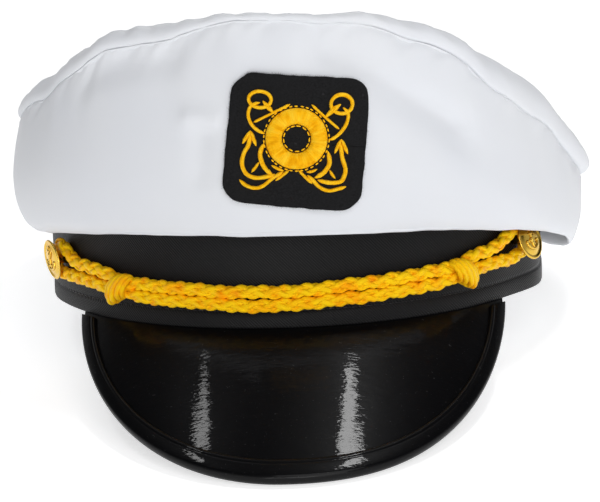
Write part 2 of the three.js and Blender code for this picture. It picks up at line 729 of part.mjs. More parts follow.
// Gilt button on a shank: the disc leans a little on the shank's end
function button(name) {
  const place = BUTTON_PLACES[name];
  const radius = BUTTON_DIAMETER / 2;
  const shank = SHANK_DIAMETER / 2;
  const leanIn = radius * Math.sin(THREE.MathUtils.degToRad(Math.abs(place.lean)));
  const stand = CORD_DIAMETER + 2 * CLEARANCE + leanIn;
  const disc = [
    [0, -0.5],
    [shank, -0.5],
    [shank, 0],
    [radius - BUTTON_RIM, 0],
    [radius, 0.5 * BUTTON_RIM],
    [radius - 0.3 * BUTTON_RIM, BUTTON_RIM],
    [radius - BUTTON_RIM, BUTTON_RIM],
    [radius - 1.4 * BUTTON_RIM, 0.6 * BUTTON_RIM],
    [0.45 * radius, 0.8 * BUTTON_DOME],
    [0, BUTTON_DOME],
  ].map(([out, height]) => new THREE.Vector2(out, height));
  const face = new THREE.LatheGeometry(disc, 14);
  const outward = ovalOutward(place.azimuth);
  const hinge = new THREE.Vector3(0, 0, 1).cross(outward);
  const leaning = outward.clone().applyAxisAngle(hinge, THREE.MathUtils.degToRad(place.lean));
  const tilt = new THREE.Quaternion().setFromUnitVectors(outward, leaning);
  const upright = new THREE.Quaternion().setFromUnitVectors(new THREE.Vector3(0, 1, 0), outward);
  face.applyQuaternion(upright.clone().invert().multiply(tilt).multiply(upright));
  face.translate(0, stand, 0);
  const stem = new THREE.CylinderGeometry(shank, shank, stand, 8).translate(0, stand / 2, 0);
  const mesh = new THREE.Mesh(union([face, stem]), giltMetal());
  mesh.name = `button_${name}`;
  mesh.position.copy(ovalPoint(place.azimuth, CLEARANCE, BAND_HEIGHT * place.height));
  mesh.quaternion.copy(upright);
  return mesh;
}

// Badge

// Point over the side panel's front: right and up from the patch's centre, and off the cloth
function facePoint(right, up, off) {
  const turn = THREE.MathUtils.degToRad(PATCH_TURN);
  const along = right * Math.cos(turn) - up * Math.sin(turn);
  const climb = right * Math.sin(turn) + up * Math.cos(turn);
  const stand = 1 + panelReach(PATCH_AZIMUTH, 0.5) / (BAND_WIDTH / 2);
  const place = (shiftAlong, shiftClimb) => {
    const azimuth = PATCH_AZIMUTH + (along + shiftAlong) / (ovalStep(PATCH_AZIMUTH) * stand);
    const height = PATCH_CENTRE + climb + shiftClimb;
    const share = (height - lipHeight(azimuth)) / (rimHeight(azimuth) - lipHeight(azimuth));
    return ovalPoint(azimuth, panelReach(azimuth, share), height);
  };
  const across = place(2, 0).sub(place(-2, 0));
  const upward = place(0, 2).sub(place(0, -2));
  const outward = new THREE.Vector3().crossVectors(across, upward).normalize();
  return place(0, 0).addScaledVector(outward, off);
}

const PATCH_STAND = 2 * CLEARANCE; // off the cloth, clear of its facets
const THREAD_STAND = PATCH_STAND + PATCH_WALL + 1.5 * CLEARANCE;

function patchOutline(share) {
  const arc = 6;
  const half = [PATCH_WIDTH / 2, PATCH_HEIGHT / 2];
  const outline = [];
  const corners = [[1, 1], [-1, 1], [-1, -1], [1, -1]];
  corners.forEach(([sideX, sideY], quarter) => {
    for (let i = 0; i < arc; i += 1) {
      const angle = (Math.PI / 2) * (quarter + i / (arc - 1));
      outline.push([
        share * (sideX * (half[0] - PATCH_CORNER) + PATCH_CORNER * Math.cos(angle)),
        share * (sideY * (half[1] - PATCH_CORNER) + PATCH_CORNER * Math.sin(angle)),
      ]);
    }
    const next = corners[(quarter + 1) % corners.length];
    for (const part of [0.33, 0.67]) {
      const from = outline[outline.length - 1 - (part > 0.5 ? 1 : 0)];
      const angle = (Math.PI / 2) * (quarter + 1);
      const to = [
        share * (next[0] * (half[0] - PATCH_CORNER) + PATCH_CORNER * Math.cos(angle)),
        share * (next[1] * (half[1] - PATCH_CORNER) + PATCH_CORNER * Math.sin(angle)),
      ];
      outline.push([THREE.MathUtils.lerp(from[0], to[0], part), THREE.MathUtils.lerp(from[1], to[1], part)]);
    }
  });
  return outline;
}

function badgePatch() {
  const shares = [1, 0.7, 0.35];
  const ring = (share, off) => patchOutline(share).map(([right, up]) => facePoint(right, up, off));
  const outside = PATCH_STAND + PATCH_WALL;
  return loftPlate(
    shares.map((share) => ring(share, outside)),
    facePoint(0, 0, outside),
    [...shares].reverse().map((share) => ring(share, PATCH_STAND)),
    facePoint(0, 0, PATCH_STAND),
  );
}

function badgeRing() {
  const steps = 26;
  const outer = RING_DIAMETER / 2;
  const inner = RING_HOLE / 2;
  const width = outer - inner;
  const profile = [
    [outer, 0],
    [outer - 0.12 * width, 0.6 * RING_RISE],
    [outer - 0.5 * width, RING_RISE],
    [inner + 0.12 * width, 0.6 * RING_RISE],
    [inner, 0],
    [inner + 0.5 * width, 0],
  ];
  const sections = Array.from({ length: steps }, (_, i) => {
    const angle = (2 * Math.PI * i) / steps;
    return profile.map(([radius, rise]) => facePoint(
      radius * Math.cos(angle), RING_UP + radius * Math.sin(angle), THREAD_STAND + rise)).reverse();
  });
  return loftRing(sections);
}

// One raised stroke of thread, flat: right, up and rise over the patch
function threadStroke(points, width) {
  const path = points.map(([right, up]) => new THREE.Vector2(right * PATCH_WIDTH, up * PATCH_WIDTH));
  const sections = path.map((point, i) => {
    const before = path[Math.max(i - 1, 0)];
    const after = path[Math.min(i + 1, path.length - 1)];
    const along = new THREE.Vector2().subVectors(after, before).normalize();
    const left = new THREE.Vector2(-along.y, along.x);
    const stretch = i === 0 || i === path.length - 1 ? 1
      : 1 / Math.max(along.dot(new THREE.Vector2().subVectors(after, point).normalize()), 0.7);
    return [[0.5, 0], [0.5, 0.6], [0.2, 1], [-0.2, 1], [-0.5, 0.6], [-0.5, 0]].map(([side, rise]) => (
      new THREE.Vector3(
        point.x + left.x * side * width * stretch,
        point.y + left.y * side * width * stretch,
        rise * THREAD_RISE,
      )));
  });
  return loftBar(sections);
}

function threadShackle({ right, up, radius }) {
  const steps = 14;
  const middle = radius * PATCH_WIDTH;
  const sections = Array.from({ length: steps }, (_, i) => {
    const angle = (-2 * Math.PI * i) / steps;
    const profile = [[0.5, 0], [0.4, 0.8], [0, 1], [-0.4, 0.8], [-0.5, 0]];
    return profile.map(([side, rise]) => new THREE.Vector3(
      right * PATCH_WIDTH + (middle + side * THREAD_WIDTH * 0.9) * Math.cos(angle),
      up * PATCH_WIDTH + (middle + side * THREAD_WIDTH * 0.9) * Math.sin(angle),
      rise * THREAD_RISE,
    ));
  });
  return loftRing(sections);
}

// Flat embroidery laid on the patch
function laidOnPatch(geometry) {
  const position = geometry.attributes.position;
  for (let i = 0; i < position.count; i += 1) {
    const point = facePoint(position.getX(i), position.getY(i), THREAD_STAND + position.getZ(i));
    position.setXYZ(i, point.x, point.y, point.z);
  }
  geometry.computeVertexNormals();
  return geometry;
}

function anchorHead(name) {
  const { shackle, strokes } = ANCHOR_HEADS[name];
  const shank = threadStroke(strokes[0], THREAD_WIDTH * 1.5);
  const stock = threadStroke(strokes[1], THREAD_WIDTH);
  return laidOnPatch(union([threadShackle(shackle), shank, stock]));
}

function anchorArm(name) {
  return laidOnPatch(union(ANCHOR_ARMS[name].map((stroke) => threadStroke(stroke, THREAD_WIDTH * 1.2))));
}

// Assembly

// Tip angle at which the peak's binding and the band's flattened rear meet one floor
function restingTip() {
  const front = peakBinding().attributes.position;
  const point = new THREE.Vector3();
  const rear = ovalPoint(180, -BAND_EDGE, 0);
  const depthUnder = (down) => {
    let lowest = -Infinity;
    for (let i = 0; i < front.count; i += 1) {
      lowest = Math.max(lowest, down.dot(point.fromBufferAttribute(front, i)));
    }
    return lowest;
  };
  let low = 0;
  let high = Math.PI / 4;
  for (let i = 0; i < 50; i += 1) {
    const tip = (low + high) / 2;
    const down = new THREE.Vector3(0, Math.sin(tip), -Math.cos(tip));
    if (depthUnder(down) > down.dot(rear) - FLOOR_FLAT) low = tip;
    else high = tip;
  }
  return (low + high) / 2;
}

const tip = restingTip();
const tippedHat = new THREE.Group();
tippedHat.rotation.x = -tip;

function add(name, geometry, material) {
  const mesh = new THREE.Mesh(geometry, material);
  mesh.name = name;
  tippedHat.add(mesh);
}

add('band', band(tip), blackTwill());
add('crown_side', crownSide(), whiteCloth());
add('crown_top', crownTop(), whiteCloth());
add('peak', peak(), blackPatent());
add('peak_binding', peakBinding(), blackPatent());
add('cord_upper', middleStrand(1), goldCord());
add('cord_lower', middleStrand(-1), goldCord());
add('badge_patch', badgePatch(), blackFelt());
add('badge_ring', badgeRing(), goldThread());
for (const [name, hand] of [['left', -1], ['right', 1]]) {
  add(`cord_loop_${name}`, cordLoop(name, hand), goldCord());
  add(`badge_anchor_${name}`, anchorHead(name), goldThread());
  add(`badge_fluke_${name}`, anchorArm(name), goldThread());
  tippedHat.add(knot(name));
  tippedHat.add(button(name));
}

// The origin: the middle of the hat's box, on the floor
const hat = new THREE.Group();
hat.add(tippedHat);
hat.updateMatrixWorld(true);
const box = new THREE.Box3().setFromObject(tippedHat, true);
const middle = box.getCenter(new THREE.Vector3());
tippedHat.position.set(-middle.x, -middle.y, -box.min.z);
hat.updateMatrixWorld(true);

export default hat;
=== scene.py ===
"""Captain hat: a soft white crown on a black twill band, a patent peak, a knotted gold cord,
gilt buttons and an embroidered patch, dressed round the hat's solid model."""
import math

import bmesh
import bpy
from bpy.props import FloatProperty, FloatVectorProperty, PointerProperty
from mathutils import Matrix, Vector, noise


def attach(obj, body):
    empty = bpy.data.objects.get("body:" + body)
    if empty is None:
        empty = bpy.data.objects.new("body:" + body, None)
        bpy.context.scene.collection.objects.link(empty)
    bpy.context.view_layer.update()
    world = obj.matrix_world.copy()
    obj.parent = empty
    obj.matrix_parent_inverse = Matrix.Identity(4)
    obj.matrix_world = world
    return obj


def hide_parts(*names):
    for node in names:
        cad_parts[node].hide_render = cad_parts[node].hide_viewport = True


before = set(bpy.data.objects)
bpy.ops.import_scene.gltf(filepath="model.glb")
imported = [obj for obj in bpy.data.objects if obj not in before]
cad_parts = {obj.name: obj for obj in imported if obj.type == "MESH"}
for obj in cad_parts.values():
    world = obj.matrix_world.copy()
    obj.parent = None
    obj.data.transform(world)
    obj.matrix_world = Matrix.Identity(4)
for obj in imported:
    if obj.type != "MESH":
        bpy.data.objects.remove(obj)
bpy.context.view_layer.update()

bl_info = {
    "name": "Captain Hat",
    "version": (1, 0, 0),
    "blender": (4, 5, 0),
    "location": "View3D > Sidebar > Hat",
    "description": "Models a captain hat with its cord, buttons and embroidered patch",
    "category": "Add Mesh",
}

BODY = "root"
MM = 0.001

# Fixed sizes, in metres
CLEARANCE = 0.3 * MM
BAND_WALL = 3 * MM
BAND_EDGE = 0.8 * MM
HEM_GROOVE = 0.5 * MM
HEM_STITCH_PITCH = 2.6 * MM
TWILL_PITCH = 1.1 * MM
# Where the hem turns at the sides: azimuth and width in degrees, stand-out in millimetres
BAND_CORNERS = ((70, 9, 2.4), (-72, 8, 0.6))
PANEL_CLOTH = 1.1 * MM
PLATE_CLOTH = 0.9 * MM
PLATE_SETTLED = 0.65
PLATE_ROLL = 14 * MM
PLATE_DOME = 5 * MM
PANEL_LEAN = 1.7
PEAK_SPREAD = 55
PEAK_TURN = 0.7
PEAK_SLOPE = math.radians(40)
PEAK_FULLNESS = {"left": 2.05, "right": 2.7}
PEAK_ROUNDING = 0.55
PEAK_BOW = 4 * MM
PEAK_WALL = 1.8 * MM
PEAK_STITCH_PITCH = 5.2 * MM
BINDING_WALL = 1 * MM
BINDING_GROOVE = 1.9 * MM
BUTTON_DOME = 1.6 * MM
BUTTON_RIM = 1 * MM
BUTTON_SEAT = 0.62 * BUTTON_RIM
SHANK_DIAMETER = 4 * MM
LOOP_SLACK = 0.8 * MM
KNOT_LENGTH = 9 * MM
KNOT_HEIGHT = 10.5 * MM
KNOT_DEPTH = 7 * MM
# How much of each corner of the patch is cut off, from none, 2: below and above, left and right
PATCH_CUTS = ((1.82, 1.8), (1.77, 1.86))
PATCH_WALL = 1.2 * MM
PATCH_AZIMUTH = 3.73
PATCH_CENTRE = 63.0 * MM
PATCH_TURN = math.radians(-7)
PATCH_STAND = 2 * CLEARANCE
THREAD_STAND = PATCH_STAND + PATCH_WALL + 0.2 * MM
RING_UP = 1.2 * MM
RING_RISE = 1.7 * MM
STITCH_EDGE = 0.8 * MM
THREAD_RISE = 0.95 * MM
THREAD_WIDTH = 1.22 * MM
# Pitch of the stitches that ridge a stroke, and one so long that a stroke is smooth
STITCH_PITCH = 0.46 * MM
SMOOTH_PITCH = 9

# The camera's place over the band's plane, from the photograph
CAMERA_DISTANCE = 0.799
CAMERA_ELEVATION = math.radians(9.13)
CAMERA_AZIMUTH = math.radians(2.87)
CAMERA_ROLL = math.radians(-2.22)
CAMERA_TARGET = Vector((0.8, 0, 9.3)) * MM
CAMERA_FOCAL_PIXELS = 2095
PHOTO_WIDTH = 600
SENSOR_WIDTH = 36


def named_rows(columns, *rows):
    """Rows of a table as dictionaries, by the names of its columns."""
    return [dict(zip(columns, row)) for row in rows]


# Sections of the side panel. Azimuth is in degrees from the front towards +X.
# rim: height of the top seam over the band's top, as a share of the crown's height
# reach, bulge, lip: stand-out over the band at the seam, at the fullest height and at the lowest
#   fold, as shares of the crown's bulge
# full: height of the fullest part, as a share of the section's height
# droop: how far the lowest fold hangs below the band's top, as a share of the crown's droop
# puff, over: rise of the plate over its seam and lean of its rolled edge, as shares of its puff
CROWN_SECTIONS = named_rows(
    ("azimuth", "rim", "reach", "bulge", "lip", "full", "droop", "puff", "over"),
    (-180, 0.28, 1.06, 1.31, 0.35, 0.52, 0.52, 0.6, 0.2),
    (-150, 0.31, 1.0, 1.22, 0.33, 0.5, 0.55, 0.6, 0.2),
    (-120, 0.36, 0.84, 1.06, 0.3, 0.48, 0.6, 0.65, 0.2),
    (-90, 0.41, 0.64, 0.88, 0.28, 0.48, 0.62, 0.8, 0.15),
    (-60, 0.61, 0.44, 0.75, 0.28, 0.42, 0.33, 0.93, 0.05),
    (-30, 0.89, 0.31, 0.56, 0.28, 0.35, 0.14, 0.92, 0.1),
    (0, 1.0, 0.19, 0.44, 0.28, 0.3, 0.14, 0.55, 0.1),
    (30, 0.873, 0.31, 0.56, 0.28, 0.35, 0.22, 0.93, 0.15),
    (60, 0.39, 0.62, 0.81, 0.55, 0.45, 0.54, 1.45, 0.1),
    (90, 0.0, 0.97, 1.0, 0.58, 0.7, 1.09, 1.15, 0.36),
    (120, 0.04, 1.06, 1.12, 0.45, 0.65, 1.06, 0.8, 0.4),
    (150, 0.16, 1.06, 1.25, 0.35, 0.58, 0.74, 0.65, 0.25),
)

# Soft folds of the side panel: valleys, or ridges where the depth is negative. Heights are
# shares of the section's height, widths and depths shares of the crown's bulge.
CROWN_FOLDS = named_rows(
    ("azimuth", "height", "end_azimuth", "end_height", "width", "depth"),
    (11, 0.86, 36, 0.6, 0.45, 0.3),
    (-20, 0.93, -40, 0.93, 0.34, 0.17),
    (-14.5, 0.48, -15, 0.3, 0.26, 0.08),
    (-11.5, 0.57, -17, 0.6, 0.17, -0.1),
    (22, 0.3, 52, 0.24, 0.5, -0.08),
)

# Puckers of the top seam: azimuth and width in degrees, drop as a share of the plate's puff
SEAM_PUCKERS = named_rows(
    ("azimuth", "width", "drop"),
    (-58, 5, 0.12),
    (-37, 5, -0.13),
    (-22, 5, 0.12),
    (-8, 4, -0.06),
    (9, 4, 0.09),
    (27, 5, 0.12),
    (46, 4, 0.12),
    (63, 4, -0.1),
    (118, 7, 0.15),
    (155, 7, -0.12),
    (-160, 7, 0.15),
    (-115, 7, 0.12),
)

# Creases along the top seam: degrees from the back over which they fade, and where they are deeper
SEAM_FADE = 14
SEAM_RUCK = {"azimuth": -36, "width": 15, "gain": 0.5}

# Where the panel's lowest fold hangs further: azimuth and width in degrees, drop in millimetres
LIP_HANGS = named_rows(
    ("azimuth", "width", "drop"),
    (80, 12, 0.8),
    (113, 23, 8.5),
)

# Points of the side panel's section, as in the solid: its underside, the swell in degrees of a
# quarter turn, and the climb to the seam
UNDERSIDE = ((0.62, 0.16), (0.92, 0.62))
SWELL_TURNS = (0, 35, 65)
CLIMB_SHARES = (0, 0.3, 0.65, 1)

# Places along that section: where its outer face starts, where the folds set in and how soon they
# are full, and the middle and width of the lowest fold
FACE_START = 0.27
FOLDS_START = 0.3
FOLDS_RUN = 0.1
LIP_MIDDLE = 0.36
LIP_WIDTH = 0.12

# The buttons: degrees from the front, height as a share of the band's, lean out at the top and
# turn to the side, in degrees
BUTTON_PLACES = {
    "left": {"azimuth": -60.0, "height": 0.51, "lean": 8, "turn": 2},
    "right": {"azimuth": 59.0, "height": 0.57, "lean": -18, "turn": -5},
}

# The cord's middle line between the knots: azimuth, and height as a share of the band's
CORD_ROUTE = (
    (-36.5, 0.36),
    (-29, 0.34),
    (-17, 0.32),
    (0, 0.3),
    (12, 0.33),
    (20, 0.35),
    (32, 0.38),
    (39, 0.4),
)

# The strands between each knot, place 0, and its button, place 1: place, upper and lower height
LOOP_ROUTES = {
    "left": ((0.16, 0.46, 0.33), (0.42, 0.5, 0.36), (0.68, 0.52, 0.37), (0.86, 0.61, 0.37)),
    "right": ((0.15, 0.52, 0.38), (0.35, 0.54, 0.4), (0.55, 0.57, 0.41), (0.8, 0.66, 0.4)),
}

# The wraps of a knot, from the button's side: place along it, slant, rise, drop and depth as shares
# of the knot's length, height and depth, and thickness as a share of the cord's
KNOT_WRAPS = named_rows(
    ("run", "slant", "rise", "drop", "depth", "thick"),
    (0.42, 0.2, 0.3, 0.4, 0.3, 0.19),
    (0.22, 0.26, 0.37, 0.54, 0.4, 0.21),
    (-0.02, 0.28, 0.39, 0.48, 0.46, 0.22),
    (-0.26, 0.24, 0.38, 0.36, 0.44, 0.21),
    (-0.44, 0.18, 0.32, 0.28, 0.34, 0.18),
)

# Embroidery of each anchor, right and up from the patch's centre as shares of its width.
# Each stroke has its width as a share of THREAD_WIDTH and then its points.
SHACKLES = {"left": (-0.283, 0.283, 0.081, 0.058), "right": (0.302, 0.292, 0.076, 0.064)}
HEAD_STROKES = {
    "left": (
        (1.3, (-0.263, 0.277), (-0.225, 0.239), (-0.179, 0.199)),
        (0.75, (-0.314, 0.116), (-0.191, 0.191), (-0.063, 0.269)),
        (0.95, (-0.278, 0.263), (-0.34, 0.234), (-0.357, 0.172), (-0.33, 0.105), (-0.278, 0.062),
         (-0.225, 0.043)),
    ),
    "right": (
        (1.3, (0.297, 0.294), (0.244, 0.248), (0.191, 0.193)),
        (0.75, (0.085, 0.277), (0.191, 0.194), (0.298, 0.116)),
        (0.95, (0.312, 0.272), (0.352, 0.229), (0.345, 0.158), (0.306, 0.091), (0.258, 0.047),
         (0.225, 0.038)),
    ),
}
ARM_STROKES = {
    "left": (
        (1.15, (-0.328, 0.033), (-0.335, -0.048), (-0.362, -0.11), (-0.369, -0.187), (-0.335, -0.254),
         (-0.268, -0.278), (-0.191, -0.264), (-0.128, -0.239)),
        (1.0, (-0.379, -0.045), (-0.356, 0.004), (-0.329, 0.056)),
        (1.0, (-0.329, 0.056), (-0.306, 0.004), (-0.279, -0.052)),
        (1.0, (-0.38, -0.302), (-0.326, -0.34), (-0.262, -0.352), (-0.207, -0.331), (-0.147, -0.273),
         (-0.074, -0.216)),
        (1.25, (-0.225, -0.024), (-0.247, -0.099), (-0.227, -0.168), (-0.191, -0.216), (-0.144, -0.246)),
        (0.8, (-0.299, -0.245), (-0.273, -0.206), (-0.249, -0.163)),
        (0.85, (-0.124, -0.287), (-0.077, -0.244), (-0.032, -0.202)),
        (0.8, (-0.162, -0.177), (-0.115, -0.198), (-0.067, -0.212)),
    ),
    "right": (
        (1.15, (0.317, 0.014), (0.323, -0.031), (0.337, -0.093), (0.363, -0.162), (0.36, -0.213),
         (0.335, -0.257), (0.258, -0.27), (0.171, -0.257)),
        (1.0, (0.372, -0.058), (0.345, -0.005), (0.317, 0.047)),
        (1.0, (0.317, 0.047), (0.297, -0.005), (0.277, -0.06)),
        (1.0, (0.381, -0.289), (0.332, -0.308), (0.256, -0.328), (0.189, -0.305), (0.144, -0.264),
         (0.098, -0.227)),
        (1.25, (0.228, -0.043), (0.247, -0.13), (0.216, -0.196), (0.182, -0.225), (0.149, -0.244)),
        (0.8, (0.251, -0.178), (0.273, -0.211), (0.299, -0.239)),
        (0.85, (0.032, -0.197), (0.086, -0.243), (0.139, -0.287)),
        (0.8, (0.089, -0.206), (0.129, -0.198), (0.166, -0.178)),
    ),
}

# The anchor raised on each button, right and up as shares of the button's radius
BUTTON_STROKES = (
    (1.0, (0.0, 0.5), (0.0, 0.0), (0.0, -0.52)),
    (0.8, (-0.26, 0.3), (0.0, 0.3), (0.26, 0.3)),
    (0.9, (-0.5, -0.1), (-0.42, -0.36), (0.0, -0.55), (0.42, -0.36), (0.5, -0.1)),
    (0.7, (-0.6, -0.22), (-0.5, -0.06), (-0.36, -0.16)),
    (0.7, (0.36, -0.16), (0.5, -0.06), (0.6, -0.22)),
    (0.6, (0.3, 0.5), (0.1, 0.16), (-0.2, -0.06), (0.12, -0.3), (0.3, -0.2)),
)


def length_property(name, description, default):
    """A size that the panel shows in the scene's unit of length."""
    return FloatProperty(name=name, description=description, default=default, unit="LENGTH")


class HatSizes(bpy.types.PropertyGroup):
    """Sizes of the hat that a user would change."""
    band_width: length_property("Band Width", "Outside the band, side to side", 184 * MM)
    band_depth: length_property("Band Depth", "Outside the band, front to back", 208 * MM)
    band_height: length_property("Band Height", "Height of the band", 35 * MM)
    hem_height: length_property("Hem Height", "Height of the band's stitched hem", 6 * MM)
    crown_height: length_property("Crown Height", "Top seam over the band, at the front", 67 * MM)
    crown_bulge: length_property("Crown Bulge", "Stand-out of the side panel", 16 * MM)
    crown_droop: length_property("Crown Droop", "Most that the crown hangs over the band", 23 * MM)
    plate_puff: length_property("Plate Puff", "Rise of the top plate over its seam", 12 * MM)
    peak_length: length_property("Peak Length", "Along the peak's slope, at the front", 65 * MM)
    binding_width: length_property("Binding Width", "Width of the peak's rolled edge", 8 * MM)
    cord_diameter: length_property("Cord Diameter", "Thickness of the braided cord", 4.2 * MM)
    button_diameter: length_property("Button Diameter", "Across a gilt button", 14.5 * MM)
    patch_width: length_property("Patch Width", "Across the felt patch", 45 * MM)
    patch_height: length_property("Patch Height", "Height of the felt patch", 42.5 * MM)
    ring_diameter: length_property("Ring Diameter", "Across the embroidered ring", 21.5 * MM)
    ring_hole: length_property("Ring Hole", "Across the ring's hole", 8.6 * MM)


def colour_property(name, description, default):
    """A colour that the panel shows as a swatch."""
    return FloatVectorProperty(
        name=name, description=description, default=default, subtype="COLOR", min=0, max=1
    )


class HatColours(bpy.types.PropertyGroup):
    """Colours of the hat's finishes."""
    cloth: colour_property("Cloth", "White cloth of the crown", (0.75, 0.763, 0.79))
    twill: colour_property("Twill", "Black twill of the band", (0.008, 0.0078, 0.0084))
    patent: colour_property("Patent", "Black patent of the peak", (0.0025, 0.0025, 0.003))
    cord: colour_property("Cord", "Golden-yellow cord", (1.0, 0.565, 0.002))
    felt: colour_property("Felt", "Black felt of the patch", (0.0075, 0.0075, 0.008))
    thread: colour_property("Thread", "Golden embroidery thread", (1.0, 0.55, 0.008))
    gilt: colour_property("Gilt", "Polished gilt metal", (0.78, 0.52, 0.08))


def cubic(before, start, end, after, share):
    """Smooth value between start and end, through them and their neighbours."""
    square = share * share
    return 0.5 * (
        2 * start
        + (end - before) * share
        + (2 * before - 5 * start + 4 * end - after) * square
        + (3 * start - before - 3 * end + after) * square * share
    )


def along(points, share):
    """Smooth point of an open row of points, at a share of its length counted in points."""
    last = len(points) - 1
    place = min(max(share, 0), 1) * last
    row = min(int(place), last - 1)
    near = [points[min(max(row + k, 0), last)] for k in (-1, 0, 1, 2)]
    return cubic(*near, place - row)


def evenly(points, step):
    """Points a step apart along a smooth line through the given ones."""
    fine = 24 * (len(points) - 1)
    dense = [along(points, k / fine) for k in range(fine + 1)]
    travelled = [0.0]
    for here, there in zip(dense, dense[1:]):
        travelled.append(travelled[-1] + (there - here).length)
    count = max(int(travelled[-1] / step), 3)
    result = []
    row = 0
    for k in range(count + 1):
        wanted = travelled[-1] * k / count
        while row < len(dense) - 2 and travelled[row + 1] < wanted:
            row += 1
        span = max(travelled[row + 1] - travelled[row], 1e-12)
        result.append(dense[row].lerp(dense[row + 1], (wanted - travelled[row]) / span))
    return result


def grain(*place):
    """Smooth unevenness from -1 to 1 at a place."""
    return noise.noise(Vector(place))


class HatForm:
    """The hat's surfaces, in its own frame before it is tipped back, in metres."""

    def __init__(self, sizes):
        self.half_width = sizes.band_width / 2
        self.half_depth = sizes.band_depth / 2
        self.band_height = sizes.band_height
        self.hem_height = sizes.hem_height
        self.crown_height = sizes.crown_height
        self.bulge = sizes.crown_bulge
        self.droop = sizes.crown_droop
        self.puff = sizes.plate_puff
        self.peak_length = sizes.peak_length
        self.binding_width = sizes.binding_width
        self.cord = sizes.cord_diameter

    def oval(self, azimuth, overhang, height):
        """Point over the band's outline."""
        angle = math.radians(azimuth)
        return Vector((
            (self.half_width + overhang) * math.sin(angle),
            -(self.half_depth + overhang) * math.cos(angle),
            height,
        ))

    def outward(self, azimuth):
        """Direction away from the band."""
        angle = math.radians(azimuth)
        return Vector((self.half_depth * math.sin(angle), -self.half_width * math.cos(angle), 0)).normalized()

    def step(self, azimuth):
        """Metres along the band for one degree of azimuth."""
        return (self.oval(azimuth + 0.5, 0, 0) - self.oval(azimuth - 0.5, 0, 0)).length

    def around(self):
        """Metres round the band, at the scale of its front."""
        return 360 * self.step(5)

    def crown(self, column, azimuth):
        """Smooth value of a column of the crown's table, round the head."""
        rows = CROWN_SECTIONS
        turn = ((azimuth - rows[0]["azimuth"]) / 360 % 1) * len(rows)
        row = int(turn)
        near = [rows[(row + k) % len(rows)][column] for k in (-1, 0, 1, 2)]
        return cubic(*near, turn - row)

    def pucker_drop(self, azimuth):
        total = 0
        for pucker in SEAM_PUCKERS:
            away = (azimuth - pucker["azimuth"] + 180) % 360 - 180
            total += pucker["drop"] * self.puff * math.exp(-((away / pucker["width"]) ** 2))
        return total

    def rim_height(self, azimuth):
        return self.band_height + self.crown_height * self.crown("rim", azimuth) - self.pucker_drop(azimuth)

    def rim_reach(self, azimuth):
        return self.bulge * self.crown("reach", azimuth) - 0.5 * self.pucker_drop(azimuth)

    def lip_height(self, azimuth):
        return self.band_height - self.droop * self.crown("droop", azimuth)

    def fold_depth(self, azimuth, share):
        """How far the folds push the panel in, at a share of the section's height."""
        tall = self.rim_height(azimuth) - self.lip_height(azimuth)
        fade = math.sqrt(math.sin(math.pi * min(max(share, 0), 1)))
        total = 0
        for fold in CROWN_FOLDS:
            scale = self.step(0.5 * (fold["azimuth"] + fold["end_azimuth"]))
            run = Vector((
                (fold["end_azimuth"] - fold["azimuth"]) * scale,
                (fold["end_height"] - fold["height"]) * tall,
            ))
            off = Vector(((azimuth - fold["azimuth"]) * scale, (share - fold["height"]) * tall))
            near = min(max(off.dot(run) / run.length_squared, 0), 1)
            away = (off - near * run).length / (fold["width"] * self.bulge)
            total += fade * fold["depth"] * self.bulge * math.exp(-(away ** 2))
        return total

    def panel_reach(self, azimuth, share):
        """Stand-out of the panel's outer face without its folds."""
        lip = self.bulge * self.crown("lip", azimuth)
        bulge = self.bulge * self.crown("bulge", azimuth)
        full = self.crown("full", azimuth)
        if share < full:
            fall = 1 - share / full
            return lip + (bulge - lip) * math.sqrt(max(1 - fall ** 2, 0))
        climb = (share - full) / (1 - full)
        return bulge + (self.rim_reach(azimuth) - bulge) * max(climb, 0) ** PANEL_LEAN

    def panel_line(self, azimuth):
        """Points of the panel's section as stand-out and height, from the band to the seam's inside."""
        seat = self.band_height + CLEARANCE
        low = self.lip_height(azimuth)
        rim = self.rim_height(azimuth)
        lip = self.bulge * self.crown("lip", azimuth)
        full = self.crown("full", azimuth)
        line = [Vector((-BAND_WALL + BAND_EDGE, seat)), Vector((CLEARANCE, seat))]
        for out, down in UNDERSIDE:
            line.append(Vector((CLEARANCE + out * (lip - CLEARANCE), seat - down * (seat - low))))
        shares = [full * (1 - math.cos(math.radians(turn))) for turn in SWELL_TURNS]
        shares += [full + (1 - full) * climb for climb in CLIMB_SHARES]
        for share in shares:
            line.append(Vector((self.panel_reach(azimuth, share), low + (rim - low) * share)))
        seam = line[-1]
        line.append(seam + Vector((-1.2, -0.1)) * MM)
        line.append(seam + Vector((-3.2, -1.6)) * MM)
        return line

    def face(self, right, up, off):
        """Point over the panel's front: right and up from the patch's centre, and off the cloth."""
        run = right * math.cos(PATCH_TURN) - up * math.sin(PATCH_TURN)
        climb = right * math.sin(PATCH_TURN) + up * math.cos(PATCH_TURN)
        stand = 1 + self.cloth_reach(PATCH_AZIMUTH, 0.5) / self.half_width

        def place(shift_run, shift_climb):
            azimuth = PATCH_AZIMUTH + (run + shift_run) / (self.step(PATCH_AZIMUTH) * stand)
            height = PATCH_CENTRE + climb + shift_climb
            low = self.lip_height(azimuth)
            share = (height - low) / (self.rim_height(azimuth) - low)
            return self.oval(azimuth, self.cloth_reach(azimuth, share), height)

        reach = 2 * MM
        across = place(reach, 0) - place(-reach, 0)
        upward = place(0, reach) - place(0, -reach)
        return place(0, 0) + across.cross(upward).normalized() * off

    def cloth_reach(self, azimuth, share):
        """Stand-out of the panel's outer face with its folds."""
        return self.panel_reach(azimuth, share) - self.fold_depth(azimuth, share)

    def plate_middle(self):
        """Height of the top plate's middle without its puff."""
        heights = [self.rim_height(-180 + 5 * k) for k in range(72)]
        return sum(heights) / len(heights) + PLATE_DOME

